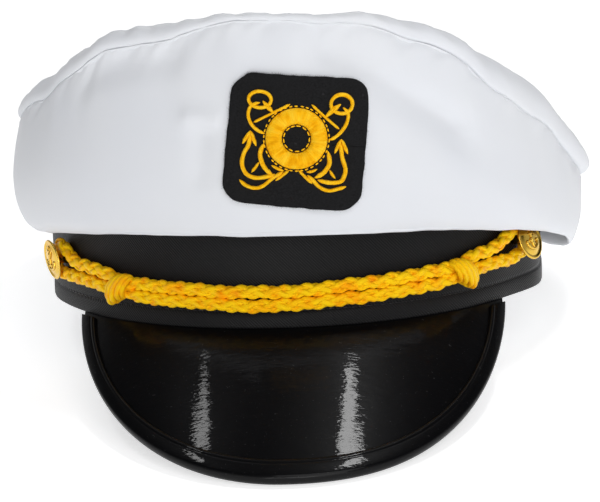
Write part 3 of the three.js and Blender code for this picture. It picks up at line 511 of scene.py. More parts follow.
    def plate(self, azimuth, share, middle):
        """Point of the top plate: share 0 at its seam, 1 at its middle."""
        rim = self.oval(azimuth, self.rim_reach(azimuth), 0)
        roll = min(share * rim.length / PLATE_ROLL, 1)
        puff = self.puff * ((1 - share) * self.crown("puff", azimuth) + share * PLATE_SETTLED)
        rise = puff * math.sqrt(max(1 - (1 - roll) ** 2, 0))
        lean = self.puff * self.crown("over", azimuth) * math.sin(math.pi * min(2 * roll, 1) ** 0.35)
        dome = share * (2 - share)
        fading = self.pucker_drop(azimuth) * (1 - dome) * (1 - (1 - share) ** 6)
        base = self.rim_height(azimuth) * (1 - dome) + middle * dome + fading
        point = rim * (1 - share) + self.outward(azimuth) * lean
        point.z = base + CLEARANCE + rise
        return point

    def peak_outline(self, across, inset):
        """Azimuth and slope length on the peak's outline, moved in from its edge."""
        sideways = self.step(PEAK_SPREAD) * math.hypot(math.sin(PEAK_SLOPE), 0.4)
        spread = PEAK_SPREAD - inset / sideways
        share = math.sin(math.pi / 2 * across)
        fullness = PEAK_FULLNESS["left" if share < 0 else "right"]
        length = (self.peak_length - inset) * (1 - abs(share) ** fullness) ** PEAK_ROUNDING
        return PEAK_TURN + spread * share, length

    def peak_middle(self, azimuth, length):
        """Middle of the peak's wall: down a slope from the band that eases at the edge."""
        down = Vector((0, -math.cos(PEAK_SLOPE), -math.sin(PEAK_SLOPE)))
        up = Vector((0, -math.sin(PEAK_SLOPE), math.cos(PEAK_SLOPE)))
        rise = PEAK_BOW * math.sin(math.pi / 2 * length / self.peak_length)
        return self.oval(azimuth, -BAND_WALL / 2, -CLEARANCE) + down * length + up * rise

    def peak_point(self, azimuth, length, rise):
        """Point off the middle of the peak's wall, kept clear of the band above."""
        step = 0.5
        slide = step * MM
        run = self.peak_middle(azimuth, length + slide) - self.peak_middle(azimuth, max(length - slide, 0))
        across = self.peak_middle(azimuth + step, length) - self.peak_middle(azimuth - step, length)
        point = self.peak_middle(azimuth, length) + run.cross(across).normalized() * rise
        point.z = min(point.z, -CLEARANCE)
        return point

    def cord_line(self, azimuth):
        """Height of the cord's middle line."""
        last = len(CORD_ROUTE) - 1
        row = 0
        while row < last - 1 and CORD_ROUTE[row + 1][0] < azimuth:
            row += 1
        near = [CORD_ROUTE[min(max(row + k, 0), last)] for k in (-1, 0, 1, 2)]
        share = (azimuth - near[1][0]) / (near[2][0] - near[1][0])
        return self.band_height * cubic(*(place[1] for place in near), min(max(share, 0), 1))


def hat_place():
    """Where the tipped hat stands: read off the band's solid, by its highest point, at the front of
    its upper edge, and its rearmost point, at the back just under that edge."""
    corners = [vertex.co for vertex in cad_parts["band"].data.vertices]
    front = max(corners, key=lambda corner: corner.z - 1e-3 * abs(corner.x))
    rear = max(corners, key=lambda corner: corner.y - 1e-3 * abs(corner.x))
    sizes = bpy.context.scene.hat_sizes
    own_front = Vector((0, -sizes.band_depth / 2 + BAND_EDGE, sizes.band_height))
    own_rear = Vector((0, sizes.band_depth / 2, sizes.band_height - BAND_EDGE))
    own, placed = own_rear - own_front, rear - front
    turn = Matrix.Rotation(math.atan2(placed.z, placed.y) - math.atan2(own.z, own.y), 4, "X")
    shift = front - turn @ own_front
    return Matrix.Translation(shift) @ turn


def add_grid(bm, columns, rows, place, wrap_u=False, wrap_v=False):
    """Grid of quads whose corners go where place(u, v) says, u and v from 0 to 1, with its uv."""
    bm.loops.layers.uv.verify()
    made = bmesh.ops.create_grid(bm, x_segments=columns, y_segments=rows, size=0.5, calc_uvs=True)["verts"]
    for vertex in made:
        vertex.co = place(vertex.co.x + 0.5, vertex.co.y + 0.5)
    if wrap_u or wrap_v:
        bmesh.ops.remove_doubles(bm, verts=made, dist=1e-7)


def close_ends(bm):
    """Fills the open ends of the tubes in a mesh."""
    open_edges = [edge for edge in bm.edges if edge.is_boundary]
    bmesh.ops.holes_fill(bm, edges=open_edges, sides=0)


def turn_outwards(bm):
    bmesh.ops.recalc_face_normals(bm, faces=bm.faces)


def set_piece(bm, name, material, nodes):
    """Puts a finished mesh into the frame as a piece that rides on the hat."""
    bmesh.ops.transform(bm, matrix=hat_place(), verts=bm.verts)
    mesh = bpy.data.meshes.new(name)
    bm.to_mesh(mesh)
    bm.free()
    for face in mesh.polygons:
        face.use_smooth = True
    mesh.materials.append(material)
    piece = bpy.data.objects.new(name, mesh)
    bpy.context.scene.collection.objects.link(piece)
    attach(piece, BODY)
    if nodes:
        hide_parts(*nodes)
    return piece


def thicken(piece, wall, offset):
    """Gives a cloth or plastic sheet its wall."""
    modifier = piece.modifiers.new("Wall", "SOLIDIFY")
    modifier.thickness = wall
    modifier.offset = offset


class Finish:
    """A material's node tree, built a node at a time."""

    def __init__(self, name, colour, roughness):
        self.material = bpy.data.materials.new(name)
        self.material.use_nodes = True
        self.material.diffuse_color = (*colour, 1)
        self.tree = self.material.node_tree
        self.surface = self.tree.nodes["Principled BSDF"]
        self.set(self.surface, "Base Color", (*colour, 1))
        self.set(self.surface, "Roughness", roughness)
        self.place = self.tree.nodes.new("ShaderNodeTexCoord")

    def set(self, node, socket, value):
        node.inputs[socket].default_value = value

    def link(self, output, node, socket):
        self.tree.links.new(output, node.inputs[socket])

    def node(self, kind, sockets=(), **options):
        made = self.tree.nodes.new(kind)
        for option, value in options.items():
            setattr(made, option, value)
        for socket, value in dict(sockets).items():
            made.inputs[socket].default_value = value
        return made

    def mapped(self, space, scale, turn=(0, 0, 0)):
        """Coordinates in a space, stretched and turned."""
        mapping = self.node("ShaderNodeMapping", {"Scale": scale, "Rotation": turn})
        self.link(self.place.outputs[space], mapping, "Vector")
        return mapping.outputs["Vector"]

    def noise(self, vector, scale, detail=3, roughness=0.55):
        made = self.node("ShaderNodeTexNoise", {"Scale": scale, "Detail": detail, "Roughness": roughness})
        self.link(vector, made, "Vector")
        return made.outputs["Fac"]

    def wave(self, vector, scale, distortion, detail_scale, direction):
        made = self.node(
            "ShaderNodeTexWave",
            {"Scale": scale, "Distortion": distortion, "Detail": 1, "Detail Scale": detail_scale},
            bands_direction=direction,
        )
        self.link(vector, made, "Vector")
        return made.outputs["Fac"]

    def ramp(self, value, *stops):
        """Colours along a value: place and colour of each stop."""
        made = self.node("ShaderNodeValToRGB")
        elements = made.color_ramp.elements
        while len(elements) < len(stops):
            elements.new(0.5)
        for element, (position, colour) in zip(elements, stops):
            element.position = position
            element.color = (*colour, 1)
        self.link(value, made, "Fac")
        return made.outputs["Color"]

    def between(self, value, low, high):
        """A value from 0 to 1 spread from low to high."""
        made = self.node("ShaderNodeMapRange", {"To Min": low, "To Max": high})
        self.link(value, made, "Value")
        return made.outputs["Result"]

    def mix(self, share, first, second):
        made = self.node("ShaderNodeMix", data_type="RGBA")
        for socket, value in ((0, share), (6, first), (7, second)):
            if isinstance(value, bpy.types.NodeSocket):
                self.tree.links.new(value, made.inputs[socket])
            elif isinstance(value, (int, float)):
                made.inputs[socket].default_value = value
            else:
                made.inputs[socket].default_value = (*value, 1)
        return made.outputs[2]

    def bump(self, height, strength, distance, after=None):
        made = self.node("ShaderNodeBump", {"Strength": strength, "Distance": distance})
        self.link(height, made, "Height")
        if after is not None:
            self.link(after, made, "Normal")
        return made.outputs["Normal"]

    def colour(self, output):
        self.link(output, self.surface, "Base Color")

    def rough(self, output):
        self.link(output, self.surface, "Roughness")

    def relief(self, output):
        self.link(output, self.surface, "Normal")


def shade(colour, factor):
    """A colour made lighter or darker."""
    return tuple(min(channel * factor, 1) for channel in colour)


def cloth_finish(colour):
    """Smooth white cloth: a very fine weave, faint clouding and faint creases."""
    finish = Finish("white_cloth", colour, 0.6)
    own = finish.place.outputs["Object"]
    cloud = finish.noise(own, 26, 3, 0.5)
    fine = finish.noise(own, 900, 2)
    cool = (colour[0] * 0.955, colour[1] * 0.965, colour[2] * 0.99)
    finish.colour(finish.mix(finish.between(cloud, -0.2, 1.2), colour, cool))
    finish.rough(finish.between(fine, 0.52, 0.68))
    finish.set(finish.surface, "Sheen Weight", 0.12)
    finish.set(finish.surface, "Sheen Roughness", 0.4)
    finish.set(finish.surface, "Specular IOR Level", 0.42)
    weave_across = finish.wave(finish.mapped("UV", (1, 1, 1)), 480, 0.6, 2, "X")
    weave_along = finish.wave(finish.mapped("UV", (1, 1, 1)), 120, 0.6, 2, "Y")
    weave = finish.mix(0.5, weave_across, weave_along)
    crease = finish.noise(finish.mapped("Object", (1, 1, 0.6)), 70, 3, 0.5)
    relief = finish.bump(crease, 0.1, 0.6 * MM)
    relief = finish.bump(weave, 0.12, 0.03 * MM, relief)
    finish.relief(finish.bump(fine, 0.1, 0.03 * MM, relief))
    return finish.material


def twill_finish(colour, repeats):
    """Black twill: fine ribs that fall to the right, with painted highlights on their crests and painted
    shade between them, worn a little unevenly.
    """
    finish = Finish("black_twill", colour, 0.62)
    cloth = finish.mapped("UV", (repeats, repeats, 1))
    one_to_a_unit = 0.628
    ribs = finish.wave(cloth, one_to_a_unit, 0.5, 0.4, "DIAGONAL")
    aslant = finish.mapped("UV", (repeats * 0.9, repeats * 4, 1), (0, 0, math.radians(45)))
    threads = finish.noise(aslant, 1, 2)
    cloud = finish.noise(finish.place.outputs["Object"], 18, 2)
    # Painted highlight and shade: the colour is lighter on the ribs' crests and darker between them,
    # following their relief
    rib_highlight_and_shade = ((0.2, 0.55), (0.7, 0.95), (1.0, 1.5))
    body = finish.ramp(ribs, *((place, shade(colour, factor)) for place, factor in rib_highlight_and_shade))
    body = finish.mix(finish.between(threads, 0.0, 0.6), body, shade(colour, 0.9))
    finish.colour(finish.mix(finish.between(cloud, 0, 0.3), body, shade(colour, 1.4)))
    finish.rough(finish.between(ribs, 0.6, 0.36))
    finish.set(finish.surface, "Specular IOR Level", 0.14)
    relief = finish.bump(threads, 0.25, 0.06 * MM)
    finish.relief(finish.bump(ribs, 0.8, 0.16 * MM, relief))
    return finish.material


def patent_finish(colour):
    """Black patent: a deep gloss over slightly uneven plastic, with fine dust."""
    finish = Finish("black_patent", colour, 0.09)
    own = finish.place.outputs["Object"]
    smear = finish.noise(finish.mapped("Object", (1, 0.4, 1)), 60, 4, 0.6)
    dust = finish.noise(own, 1400, 1)
    finish.rough(finish.between(smear, 0.3, 0.46))
    finish.set(finish.surface, "Specular IOR Level", 0.06)
    finish.set(finish.surface, "Coat Weight", 0.2)
    finish.set(finish.surface, "Coat Roughness", 0.035)
    speck = finish.ramp(dust, (0.72, colour), (0.8, (0.04, 0.04, 0.04)))
    finish.colour(speck)
    waves = finish.noise(finish.mapped("Object", (0.3, 1, 1)), 330, 3, 0.6)
    fine = finish.noise(finish.mapped("Object", (0.15, 1, 1)), 1500, 2, 0.6)
    relief = finish.bump(waves, 1.0, 0.1 * MM)
    rippled = finish.bump(fine, 1.0, 0.022 * MM, relief)
    finish.relief(rippled)
    finish.link(rippled, finish.surface, "Coat Normal")
    return finish.material


def cord_finish(colour):
    """Golden-yellow rayon cord: fine twisted filaments with a silky sheen, painted shade in the grooves
    between the filaments and a faint painted glow.
    """
    finish = Finish("gold_cord", colour, 0.4)
    own = finish.place.outputs["Object"]
    filaments = finish.wave(finish.mapped("UV", (60, 9, 1)), 1.2, 1.6, 2, "DIAGONAL")
    patches = finish.noise(own, 190, 2)
    # deep: a deeper orange, used for random patches and for the painted shade between the filaments
    deep = (colour[0], colour[1] * 0.62, colour[2])
    bright = (colour[0], colour[1] * 1.18, colour[2] + 0.004)
    body = finish.mix(finish.ramp(patches, (0.45, (0, 0, 0)), (0.75, (1, 1, 1))), bright, deep)
    # Painted shade: the colour darkens towards deep where the filaments' bump dips between them
    finish.colour(finish.mix(finish.between(filaments, 0.3, 0.0), body, deep))
    finish.rough(finish.between(filaments, 0.44, 0.26))
    finish.set(finish.surface, "Specular IOR Level", 0.4)
    finish.set(finish.surface, "Specular Tint", (1.0, 0.75, 0.12, 1))
    # Painted glow: a faint orange emission makes the cord shine brighter, though it is no lamp
    finish.set(finish.surface, "Emission Color", (1.0, 0.4, 0.0, 1))
    finish.set(finish.surface, "Emission Strength", 0.03)
    finish.relief(finish.bump(filaments, 0.6, 0.12 * MM))
    return finish.material


def thread_finish(colour, stitches):
    """Golden satin-stitch thread, laid side by side along a number of stitches, with painted shade between
    the strands.
    """
    finish = Finish("gold_thread", colour, 0.4)
    strands = finish.noise(finish.mapped("UV", (stitches, 0.7, 1)), 1, 3, 0.7)
    broad = finish.noise(finish.mapped("UV", (stitches * 0.12, 1.6, 1)), 1, 3, 0.6)
    deep = (colour[0] * 0.78, colour[1] * 0.58, 0.0)
    bright = (colour[0], colour[1] * 1.25, 0.04)
    body = finish.ramp(broad, (0.34, deep), (0.47, colour), (0.66, bright))
    # Painted shade: the colour darkens towards deep where the strands' bump dips between them
    lines = finish.ramp(strands, (0.34, (0, 0, 0)), (0.66, (1, 1, 1)))
    finish.colour(finish.mix(finish.between(lines, 0.45, 0.0), body, deep))
    finish.rough(finish.between(strands, 0.25, 0.5))
    finish.set(finish.surface, "Specular IOR Level", 0.3)
    finish.set(finish.surface, "Specular Tint", (1.0, 0.7, 0.1, 1))
    finish.relief(finish.bump(strands, 0.8, 0.14 * MM))
    return finish.material


def felt_finish(colour):
    """Black felt: matted fibres and a little lint."""
    finish = Finish("black_felt", colour, 0.92)
    own = finish.place.outputs["Object"]
    fibres = finish.noise(finish.mapped("Object", (1, 0.5, 1.3), (0, 0.5, 0)), 1500, 4, 0.75)
    lint = finish.noise(own, 520, 2, 0.6)
    mats = finish.noise(own, 120, 3)
    body = finish.ramp(fibres, (0.3, shade(colour, 0.55)), (0.75, shade(colour, 2.4)))
    body = finish.mix(finish.between(mats, 0.0, 0.5), body, shade(colour, 1.7))
    specks = finish.ramp(lint, (0.72, (0, 0, 0)), (0.8, (0.5, 0.5, 0.5)))
    finish.colour(finish.mix(specks, body, shade(colour, 5)))
    finish.set(finish.surface, "Specular IOR Level", 0.12)
    relief = finish.bump(mats, 0.3, 0.25 * MM)
    finish.relief(finish.bump(fibres, 0.6, 0.1 * MM, relief))
    return finish.material


def gilt_finish(colour):
    """Polished gilt: faint handling marks and a little warm tarnish."""
    finish = Finish("gilt_metal", colour, 0.2)
    own = finish.place.outputs["Object"]
    marks = finish.noise(own, 480, 4, 0.7)
    tarnish = finish.noise(own, 130, 3)
    warm = (colour[0] * 0.8, colour[1] * 0.6, colour[2] * 0.35)
    finish.colour(finish.mix(finish.between(tarnish, -0.35, 0.75), colour, warm))
    finish.rough(finish.between(marks, 0.1, 0.3))
    finish.set(finish.surface, "Metallic", 1.0)
    finish.relief(finish.bump(marks, 0.1, 0.05 * MM))
    return finish.material


def thread_black_finish():
    """Black sewing thread."""
    finish = Finish("black_thread", (0.006, 0.006, 0.007), 0.5)
    own = finish.place.outputs["Object"]
    plies = finish.wave(finish.mapped("Object", (1, 1, 1)), 420, 1, 1, "DIAGONAL")
    finish.colour(finish.mix(plies, (0.004, 0.004, 0.005), (0.02, 0.02, 0.022)))
    finish.rough(finish.between(finish.noise(own, 900, 1), 0.12, 0.3))
    finish.relief(finish.bump(plies, 0.4, 0.05 * MM))
    return finish.material


def sizes_and_colours():
    scene = bpy.context.scene
    return scene.hat_sizes, scene.hat_colours


def small_bead(bm, centre, axis, half_length, half_width, sides=6):
    """A stitch: a small rounded bar about an axis, with a few dozen faces."""
    turn = axis.to_track_quat("Z", "Y").to_matrix().to_4x4()
    stretch = Matrix.Diagonal((half_width, half_width, half_length, 1))
    bmesh.ops.create_uvsphere(
        bm, u_segments=sides, v_segments=5, radius=1, matrix=Matrix.Translation(centre) @ turn @ stretch
    )


class HAT_OT_stage(bpy.types.Operator):
    """Makes the floor, the studio light and the camera at the photograph's angle"""
    bl_idname = "hat.stage"
    bl_label = "Stage"

    def execute(self, context):
        self.add_camera(context)
        self.add_floor(context)
        self.add_world(context)
        self.add_lights(context)
        context.scene.view_settings.view_transform = "Standard"
        return {"FINISHED"}

    def view_frame(self):
        """The camera's place and its right, up and forward directions, in the hat's own frame."""
        level = math.cos(CAMERA_ELEVATION)
        back = Vector((
            math.sin(CAMERA_AZIMUTH) * level, -math.cos(CAMERA_AZIMUTH) * level, math.sin(CAMERA_ELEVATION)
        ))
        right = (-back).cross(Vector((0, 0, 1))).normalized()
        up = right.cross(-back)
        rolled_right = right * math.cos(CAMERA_ROLL) + up * math.sin(CAMERA_ROLL)
        rolled_up = up * math.cos(CAMERA_ROLL) - right * math.sin(CAMERA_ROLL)
        return CAMERA_TARGET + back * CAMERA_DISTANCE, rolled_right, rolled_up, -back

    def add_camera(self, context):
        place, right, up, forward = self.view_frame()
        data = bpy.data.cameras.new("camera")
        data.sensor_width = SENSOR_WIDTH
        data.lens = CAMERA_FOCAL_PIXELS / PHOTO_WIDTH * SENSOR_WIDTH
        data.clip_start, data.clip_end = 0.05, 50
        camera = bpy.data.objects.new("camera", data)
        axes = Matrix((right, up, -forward)).transposed().to_4x4()
        camera.matrix_world = hat_place() @ Matrix.Translation(place) @ axes
        context.scene.collection.objects.link(camera)
        context.scene.camera = camera

    def add_floor(self, context):
        bm = bmesh.new()
        bmesh.ops.create_circle(bm, cap_ends=True, segments=96, radius=9)
        mesh = bpy.data.meshes.new("floor")
        bm.to_mesh(mesh)
        bm.free()
        finish = Finish("pale_floor", (0.85, 0.85, 0.855), 0.8)
        finish.set(finish.surface, "Specular IOR Level", 0.1)
        finish.set(finish.surface, "Emission Color", (1, 1, 1, 1))
        finish.set(finish.surface, "Emission Strength", FLOOR_GLOW)
        cloud = finish.noise(finish.place.outputs["Object"], 3, 2)
        finish.colour(finish.mix(cloud, (0.84, 0.84, 0.845), (0.86, 0.86, 0.865)))
        mesh.materials.append(finish.material)
        floor = bpy.data.objects.new("floor", mesh)
        context.scene.collection.objects.link(floor)

    def add_world(self, context):
        """Bright round the horizon and dark overhead, so that the patent reflects little but lamps."""
        world = bpy.data.worlds.new("studio")
        world.use_nodes = True
        context.scene.world = world
        tree = world.node_tree
        place = tree.nodes.new("ShaderNodeTexCoord")
        split = tree.nodes.new("ShaderNodeSeparateXYZ")
        ramp = tree.nodes.new("ShaderNodeValToRGB")
        tree.links.new(place.outputs["Generated"], split.inputs[0])
        tree.links.new(split.outputs["Z"], ramp.inputs["Fac"])
        tree.links.new(ramp.outputs["Color"], tree.nodes["Background"].inputs["Color"])
        low, high = ramp.color_ramp.elements
        low.position, low.color = 0.2, (1.0, 1.0, 1.0, 1)
        high.position, high.color = 0.5, (0.03, 0.03, 0.033, 1)
        tree.nodes["Background"].inputs["Strength"].default_value = WORLD_STRENGTH

    def add_lights(self, context):
        """A soft sun over the camera, softboxes in front and the lamps that the peak mirrors."""
        sun = bpy.data.lights.new("sun", "SUN")
        sun.energy = SUN_STRENGTH
        sun.angle = math.radians(45)
        self.aim(context, sun, SUN_PLACE)
        for name, place, size, power in STUDIO_LIGHTS:
            self.aim(context, self.softbox(name, size, power), Vector(place))
        for name, place, size, turn, power in PEAK_LAMPS:
            lamp = bpy.data.objects.new(name, self.softbox(name, size, power))
            lamp.location = place
            lamp.rotation_euler.z = math.radians(turn)
            context.scene.collection.objects.link(lamp)

    def softbox(self, name, size, power):
        """A rounded lamp with a width and height in metres and a power in watts."""
        data = bpy.data.lights.new(name, "AREA")
        data.shape = "ELLIPSE"
        data.size, data.size_y = size
        data.energy = power
        return data

    def aim(self, context, data, place):
        """Puts a lamp at a place, turned to the hat."""
        lamp = bpy.data.objects.new(data.name, data)
        lamp.location = place
        lamp.rotation_mode = "QUATERNION"
        lamp.rotation_quaternion = (place - LIGHT_AIM).to_track_quat("Z", "Y")
        context.scene.collection.objects.link(lamp)


class HAT_OT_crown(bpy.types.Operator):
    """Models the soft white crown: its side panel and its top plate"""
    bl_idname = "hat.crown"
    bl_label = "Crown"

    columns = 432
    panel_rows = 92
    plate_rows = 46

    def execute(self, context):
        sizes, colours = sizes_and_colours()
        form = HatForm(sizes)
        cloth = cloth_finish(colours.cloth)
        self.side_panel(form, cloth)
        self.top_plate(form, cloth)
        return {"FINISHED"}

    def gathers(self, azimuth, away, spread, shift=0):
        """Small creases that fan out from the top seam, as an outward rise."""
        fade = min((180 - abs(azimuth)) / SEAM_FADE, 1)
        ruck_away = (azimuth - SEAM_RUCK["azimuth"]) / SEAM_RUCK["width"]
        ruck = 1 + SEAM_RUCK["gain"] * math.exp(-(ruck_away ** 2))
        along_seam = azimuth + shift
        near = math.exp(-((away / spread) ** 2))
        slant = along_seam + 0.5 * away / MM
        crease = 0.55 * grain(along_seam * 0.21, 3.1, 0.2) * math.exp(-((away / (2.6 * spread)) ** 2))
        crease += near * (0.8 * grain(slant * 0.42, 7.7, 1.3) + 0.5 * grain(slant * 0.95, 1.2, 4.1))
        return MM * crease * fade * ruck

    def cloth_drift(self, point):
        """Broad soft unevenness of worn cloth."""
        place = point / (38 * MM)
        return 0.55 * MM * grain(place.x, place.y, place.z + 4.7)

    def softened(self, form, azimuth):
        """The panel's section with its lowest fold rounded where it droops."""
        line = form.panel_line(azimuth)
        soft = 0.9 * min(max((form.crown("droop", azimuth) - 0.35) / 0.5, 0), 1)
        fold = 2 + len(UNDERSIDE)
        sharp = list(line)
        for row in (fold - 1, fold, fold + 1):
            middle = (sharp[row - 1] + sharp[row] * 2 + sharp[row + 1]) / 4
            line[row] = sharp[row].lerp(middle, soft)
        return line

    def lip_ripple(self, azimuth):
        """Rise of the panel's lowest fold, small and uneven, and lower where it hangs."""
        ripple = 0.45 * MM * grain(azimuth * 0.07, 11.3, 2.0) + 0.3 * MM * grain(azimuth * 0.2, 5.3, 2.0)
        ripple *= min((180 - abs(azimuth)) / SEAM_FADE, 1)
        for hang in LIP_HANGS:
            away = (azimuth - hang["azimuth"]) / hang["width"]
            ripple -= hang["drop"] * MM * math.exp(-(away ** 2))
        return ripple

    def side_panel(self, form, cloth):
        table = {}

        def place(u, v):
            azimuth = -180 + 360 * u
            column = round(u * self.columns) % self.columns
            if column not in table:
                heights = form.lip_height(azimuth), form.rim_height(azimuth)
                table[column] = self.softened(form, azimuth), *heights
            line, low, rim = table[column]
            out, height = along(line, v)
            seam_at = (len(line) - 3) / (len(line) - 1)
            share = (height - low) / (rim - low)
            if v > FOLDS_START:
                out -= form.fold_depth(azimuth, share) * min((v - FOLDS_START) / FOLDS_RUN, 1)
            above = max(v - FACE_START, 0) / (1 - FACE_START)
            blend = min(above * 6, 1) * (1 if v <= seam_at else 0.4)
            point = form.oval(azimuth, out, height)
            out += blend * self.gathers(azimuth, rim - height, 5 * MM)
            out += blend * self.cloth_drift(point)
            height += self.lip_ripple(azimuth) * math.exp(-(((v - LIP_MIDDLE) / LIP_WIDTH) ** 2))
            return form.oval(azimuth, out, height)

        bm = bmesh.new()
        add_grid(bm, self.columns, self.panel_rows, place, wrap_u=True)
        piece = set_piece(bm, "crown_side_cloth", cloth, ["crown_side"])
        thicken(piece, PANEL_CLOTH, -1)

    def top_plate(self, form, cloth):
        middle = form.plate_middle()
        tuck = 0.06

        def place(u, v):
            azimuth = -180 + 360 * u
            if v < tuck:
                inside = 1 - v / tuck
                point = form.oval(azimuth, form.rim_reach(azimuth) - 2.6 * MM * inside, 0)
                point.z = form.rim_height(azimuth) + CLEARANCE + 0.7 * MM * inside ** 2
                return point
            share = ((v - tuck) / (1 - tuck)) ** 2.6
            point = form.plate(azimuth, share, middle)
            away = share * form.half_depth
            rise = self.gathers(azimuth, away, 7 * MM, 40) * min(away / (2 * MM), 1)
            if share < 1:
                point.z += rise + self.cloth_drift(point) * min(away / (6 * MM), 1)
            return point

        bm = bmesh.new()
        add_grid(bm, self.columns, self.plate_rows, place, wrap_u=True)
        piece = set_piece(bm, "crown_top_cloth", cloth, ["crown_top"])
        thicken(piece, PLATE_CLOTH, -1)


class HAT_OT_band(bpy.types.Operator):
    """Models the black twill band with its stitched hem"""
    bl_idname = "hat.band"
    bl_label = "Band"

    columns = 360

    def execute(self, context):
        sizes, colours = sizes_and_colours()
        form = HatForm(sizes)
        self.band(form, colours)
        self.hem_stitches(form)
        return {"FINISHED"}

    def outer_face(self, form):
        """Points of the band's outer face from its lower edge up, as stand-out and height."""
        hem = form.hem_height
        line = [(-BAND_EDGE, 0.0), (-0.3 * BAND_EDGE, 0.3 * BAND_EDGE), (0.0, BAND_EDGE)]
        line += [(0.12 * MM, 0.5 * hem), (0.1 * MM, hem - 0.9 * MM), (-0.25 * MM, hem - 0.35 * MM)]
        line += [(-HEM_GROOVE, hem), (-0.3 * MM, hem + 0.4 * MM), (-0.05 * MM, hem + 0.9 * MM)]
        low, top = hem + 1.2 * MM, form.band_height
        rows = 10
        line += [(0.0, low + (top - BAND_EDGE - low) * k / rows) for k in range(rows + 1)]
        line += [(-0.3 * BAND_EDGE, top - 0.3 * BAND_EDGE), (-BAND_EDGE, top)]
        return line

    def corner(self, form, azimuth, height):
        """How far the hem stands out where the band turns at its sides."""
        low = max(1 - height / (0.45 * form.band_height), 0)
        return sum(
            flare * MM * low * math.exp(-(((azimuth - middle) / spread) ** 2))
            for middle, spread, flare in BAND_CORNERS
        )

    def band(self, form, colours):
        inner = [(-BAND_WALL + 0.3 * MM, form.band_height), (-BAND_WALL, form.band_height - 0.4 * MM)]
        inner += [(-BAND_WALL, form.band_height * k / 6) for k in (5, 4, 3, 2, 1)]
        inner += [(-BAND_WALL, 0.4 * MM), (-BAND_WALL + 0.3 * MM, 0.0)]
        line = self.outer_face(form) + inner
        rows = len(line)

        def place(u, v):
            azimuth = -180 + 360 * u
            out, height = line[round(v * rows) % rows]
            ease = 0.22 * MM * grain(azimuth * 0.05, height * 60, 8.1)
            ease += self.corner(form, azimuth, height)
            return form.oval(azimuth, out + ease if out > -BAND_WALL / 2 else out, height)

        bm = bmesh.new()
        add_grid(bm, self.columns, rows, place, wrap_u=True, wrap_v=True)
        self.lay_pattern(bm, form)
        turn_outwards(bm)
        material = twill_finish(colours.twill, form.around() / TWILL_PITCH)
        piece = set_piece(bm, "band_cloth", material, ["band"])
        # The front of the lower edge rests on the ground
        for vertex in piece.data.vertices:
            vertex.co.z = max(vertex.co.z, 0)

    def lay_pattern(self, bm, form):
        """Gives the cloth its pattern's place: turns round the head, and height in the same unit."""
        pattern = bm.loops.layers.uv.active
        around = form.around()
        for face in bm.faces:
            for loop in face.loops:
                loop[pattern].uv.y = loop.vert.co.z / around

    def hem_stitches(self, form):
        """A row of small stitches along the hem's groove."""
        bm = bmesh.new()
        count = int(form.around() / HEM_STITCH_PITCH)
        for k in range(count):
            azimuth = -180 + 360 * k / count
            centre = form.oval(azimuth, -HEM_GROOVE + 0.12 * MM, form.hem_height)
            run = form.oval(azimuth + 1, 0, 0) - form.oval(azimuth - 1, 0, 0)
            small_bead(bm, centre, run, 0.4 * HEM_STITCH_PITCH, 0.2 * MM)
        set_piece(bm, "hem_stitches", thread_black_finish(), [])


class HAT_OT_peak(bpy.types.Operator):
    """Models the glossy peak and its rolled, stitched binding"""
    bl_idname = "hat.peak"
    bl_label = "Peak"

    # How far the peak goes towards the ends of its full spread
    reach = 0.975

    def execute(self, context):
        sizes, colours = sizes_and_colours()
        form = HatForm(sizes)
        patent = patent_finish(colours.patent)
        self.peak(form, patent)
        self.binding(form, patent)
        self.stitches(form)
        return {"FINISHED"}

    def peak(self, form, patent):
        inset = BINDING_WALL + CLEARANCE

        def place(u, v):
            azimuth, length = form.peak_outline(self.reach * (1 - 2 * u), inset)
            return form.peak_point(azimuth, length * v, 0)

        bm = bmesh.new()
        add_grid(bm, 144, 48, place)
        piece = set_piece(bm, "peak_patent_sheet", patent, ["peak"])
        thicken(piece, PEAK_WALL, 0)

    def binding_line(self, form):
        """Closed section of the binding: inset from the edge and rise off the wall's middle."""
        half = PEAK_WALL / 2 + CLEARANCE
        full = half + BINDING_WALL
        width = form.binding_width
        groove = width - BINDING_GROOVE
        roll = []
        for degrees in range(0, 91, 15):
            turn = math.radians(degrees)
            roll.append((1.9 * MM * (1 - math.cos(turn)), full * math.sin(turn) * 1.06))
        upper = roll + [(0.45 * width, full), (groove - 0.8 * MM, full), (groove - 0.3 * MM, full * 0.95)]
        upper += [(groove, full * 0.9), (groove + 0.3 * MM, full * 0.95), (groove + 0.8 * MM, full * 0.96)]
        upper += [(width - 0.35 * MM, full * 0.84), (width, full * 0.72), (width, half)]
        lower = [(inset, -rise) for inset, rise in reversed(upper)]
        return upper + lower[:-1]

    def binding(self, form, patent):
        line = self.binding_line(form)
        rows = len(line)

        def place(u, v):
            inset, rise = line[round(v * rows) % rows]
            azimuth, length = form.peak_outline(self.reach * (2 * u - 1) * 0.99, inset)
            return form.peak_point(azimuth, length, rise)

        bm = bmesh.new()
        add_grid(bm, 240, rows, place, wrap_v=True)
        close_ends(bm)
        turn_outwards(bm)
        set_piece(bm, "peak_binding_roll", patent, ["peak_binding"])

    def stitches(self, form):
        """Stitches along the binding's groove, a short gap apart."""
        groove = form.binding_width - BINDING_GROOVE
        full = PEAK_WALL / 2 + CLEARANCE + BINDING_WALL
        dense = [self.on_edge(form, -0.94 + 1.88 * k / 300, groove, 0.8 * full) for k in range(301)]
        bm = bmesh.new()
        row = evenly(dense, PEAK_STITCH_PITCH)
        for here, there in zip(row, row[1:]):
            small_bead(bm, (here + there) / 2, there - here, 0.4 * PEAK_STITCH_PITCH, 0.22 * MM)
        set_piece(bm, "peak_stitches", thread_black_finish(), [])

    def on_edge(self, form, across, inset, rise):
        azimuth, length = form.peak_outline(across, inset)
        return form.peak_point(azimuth, length, rise)


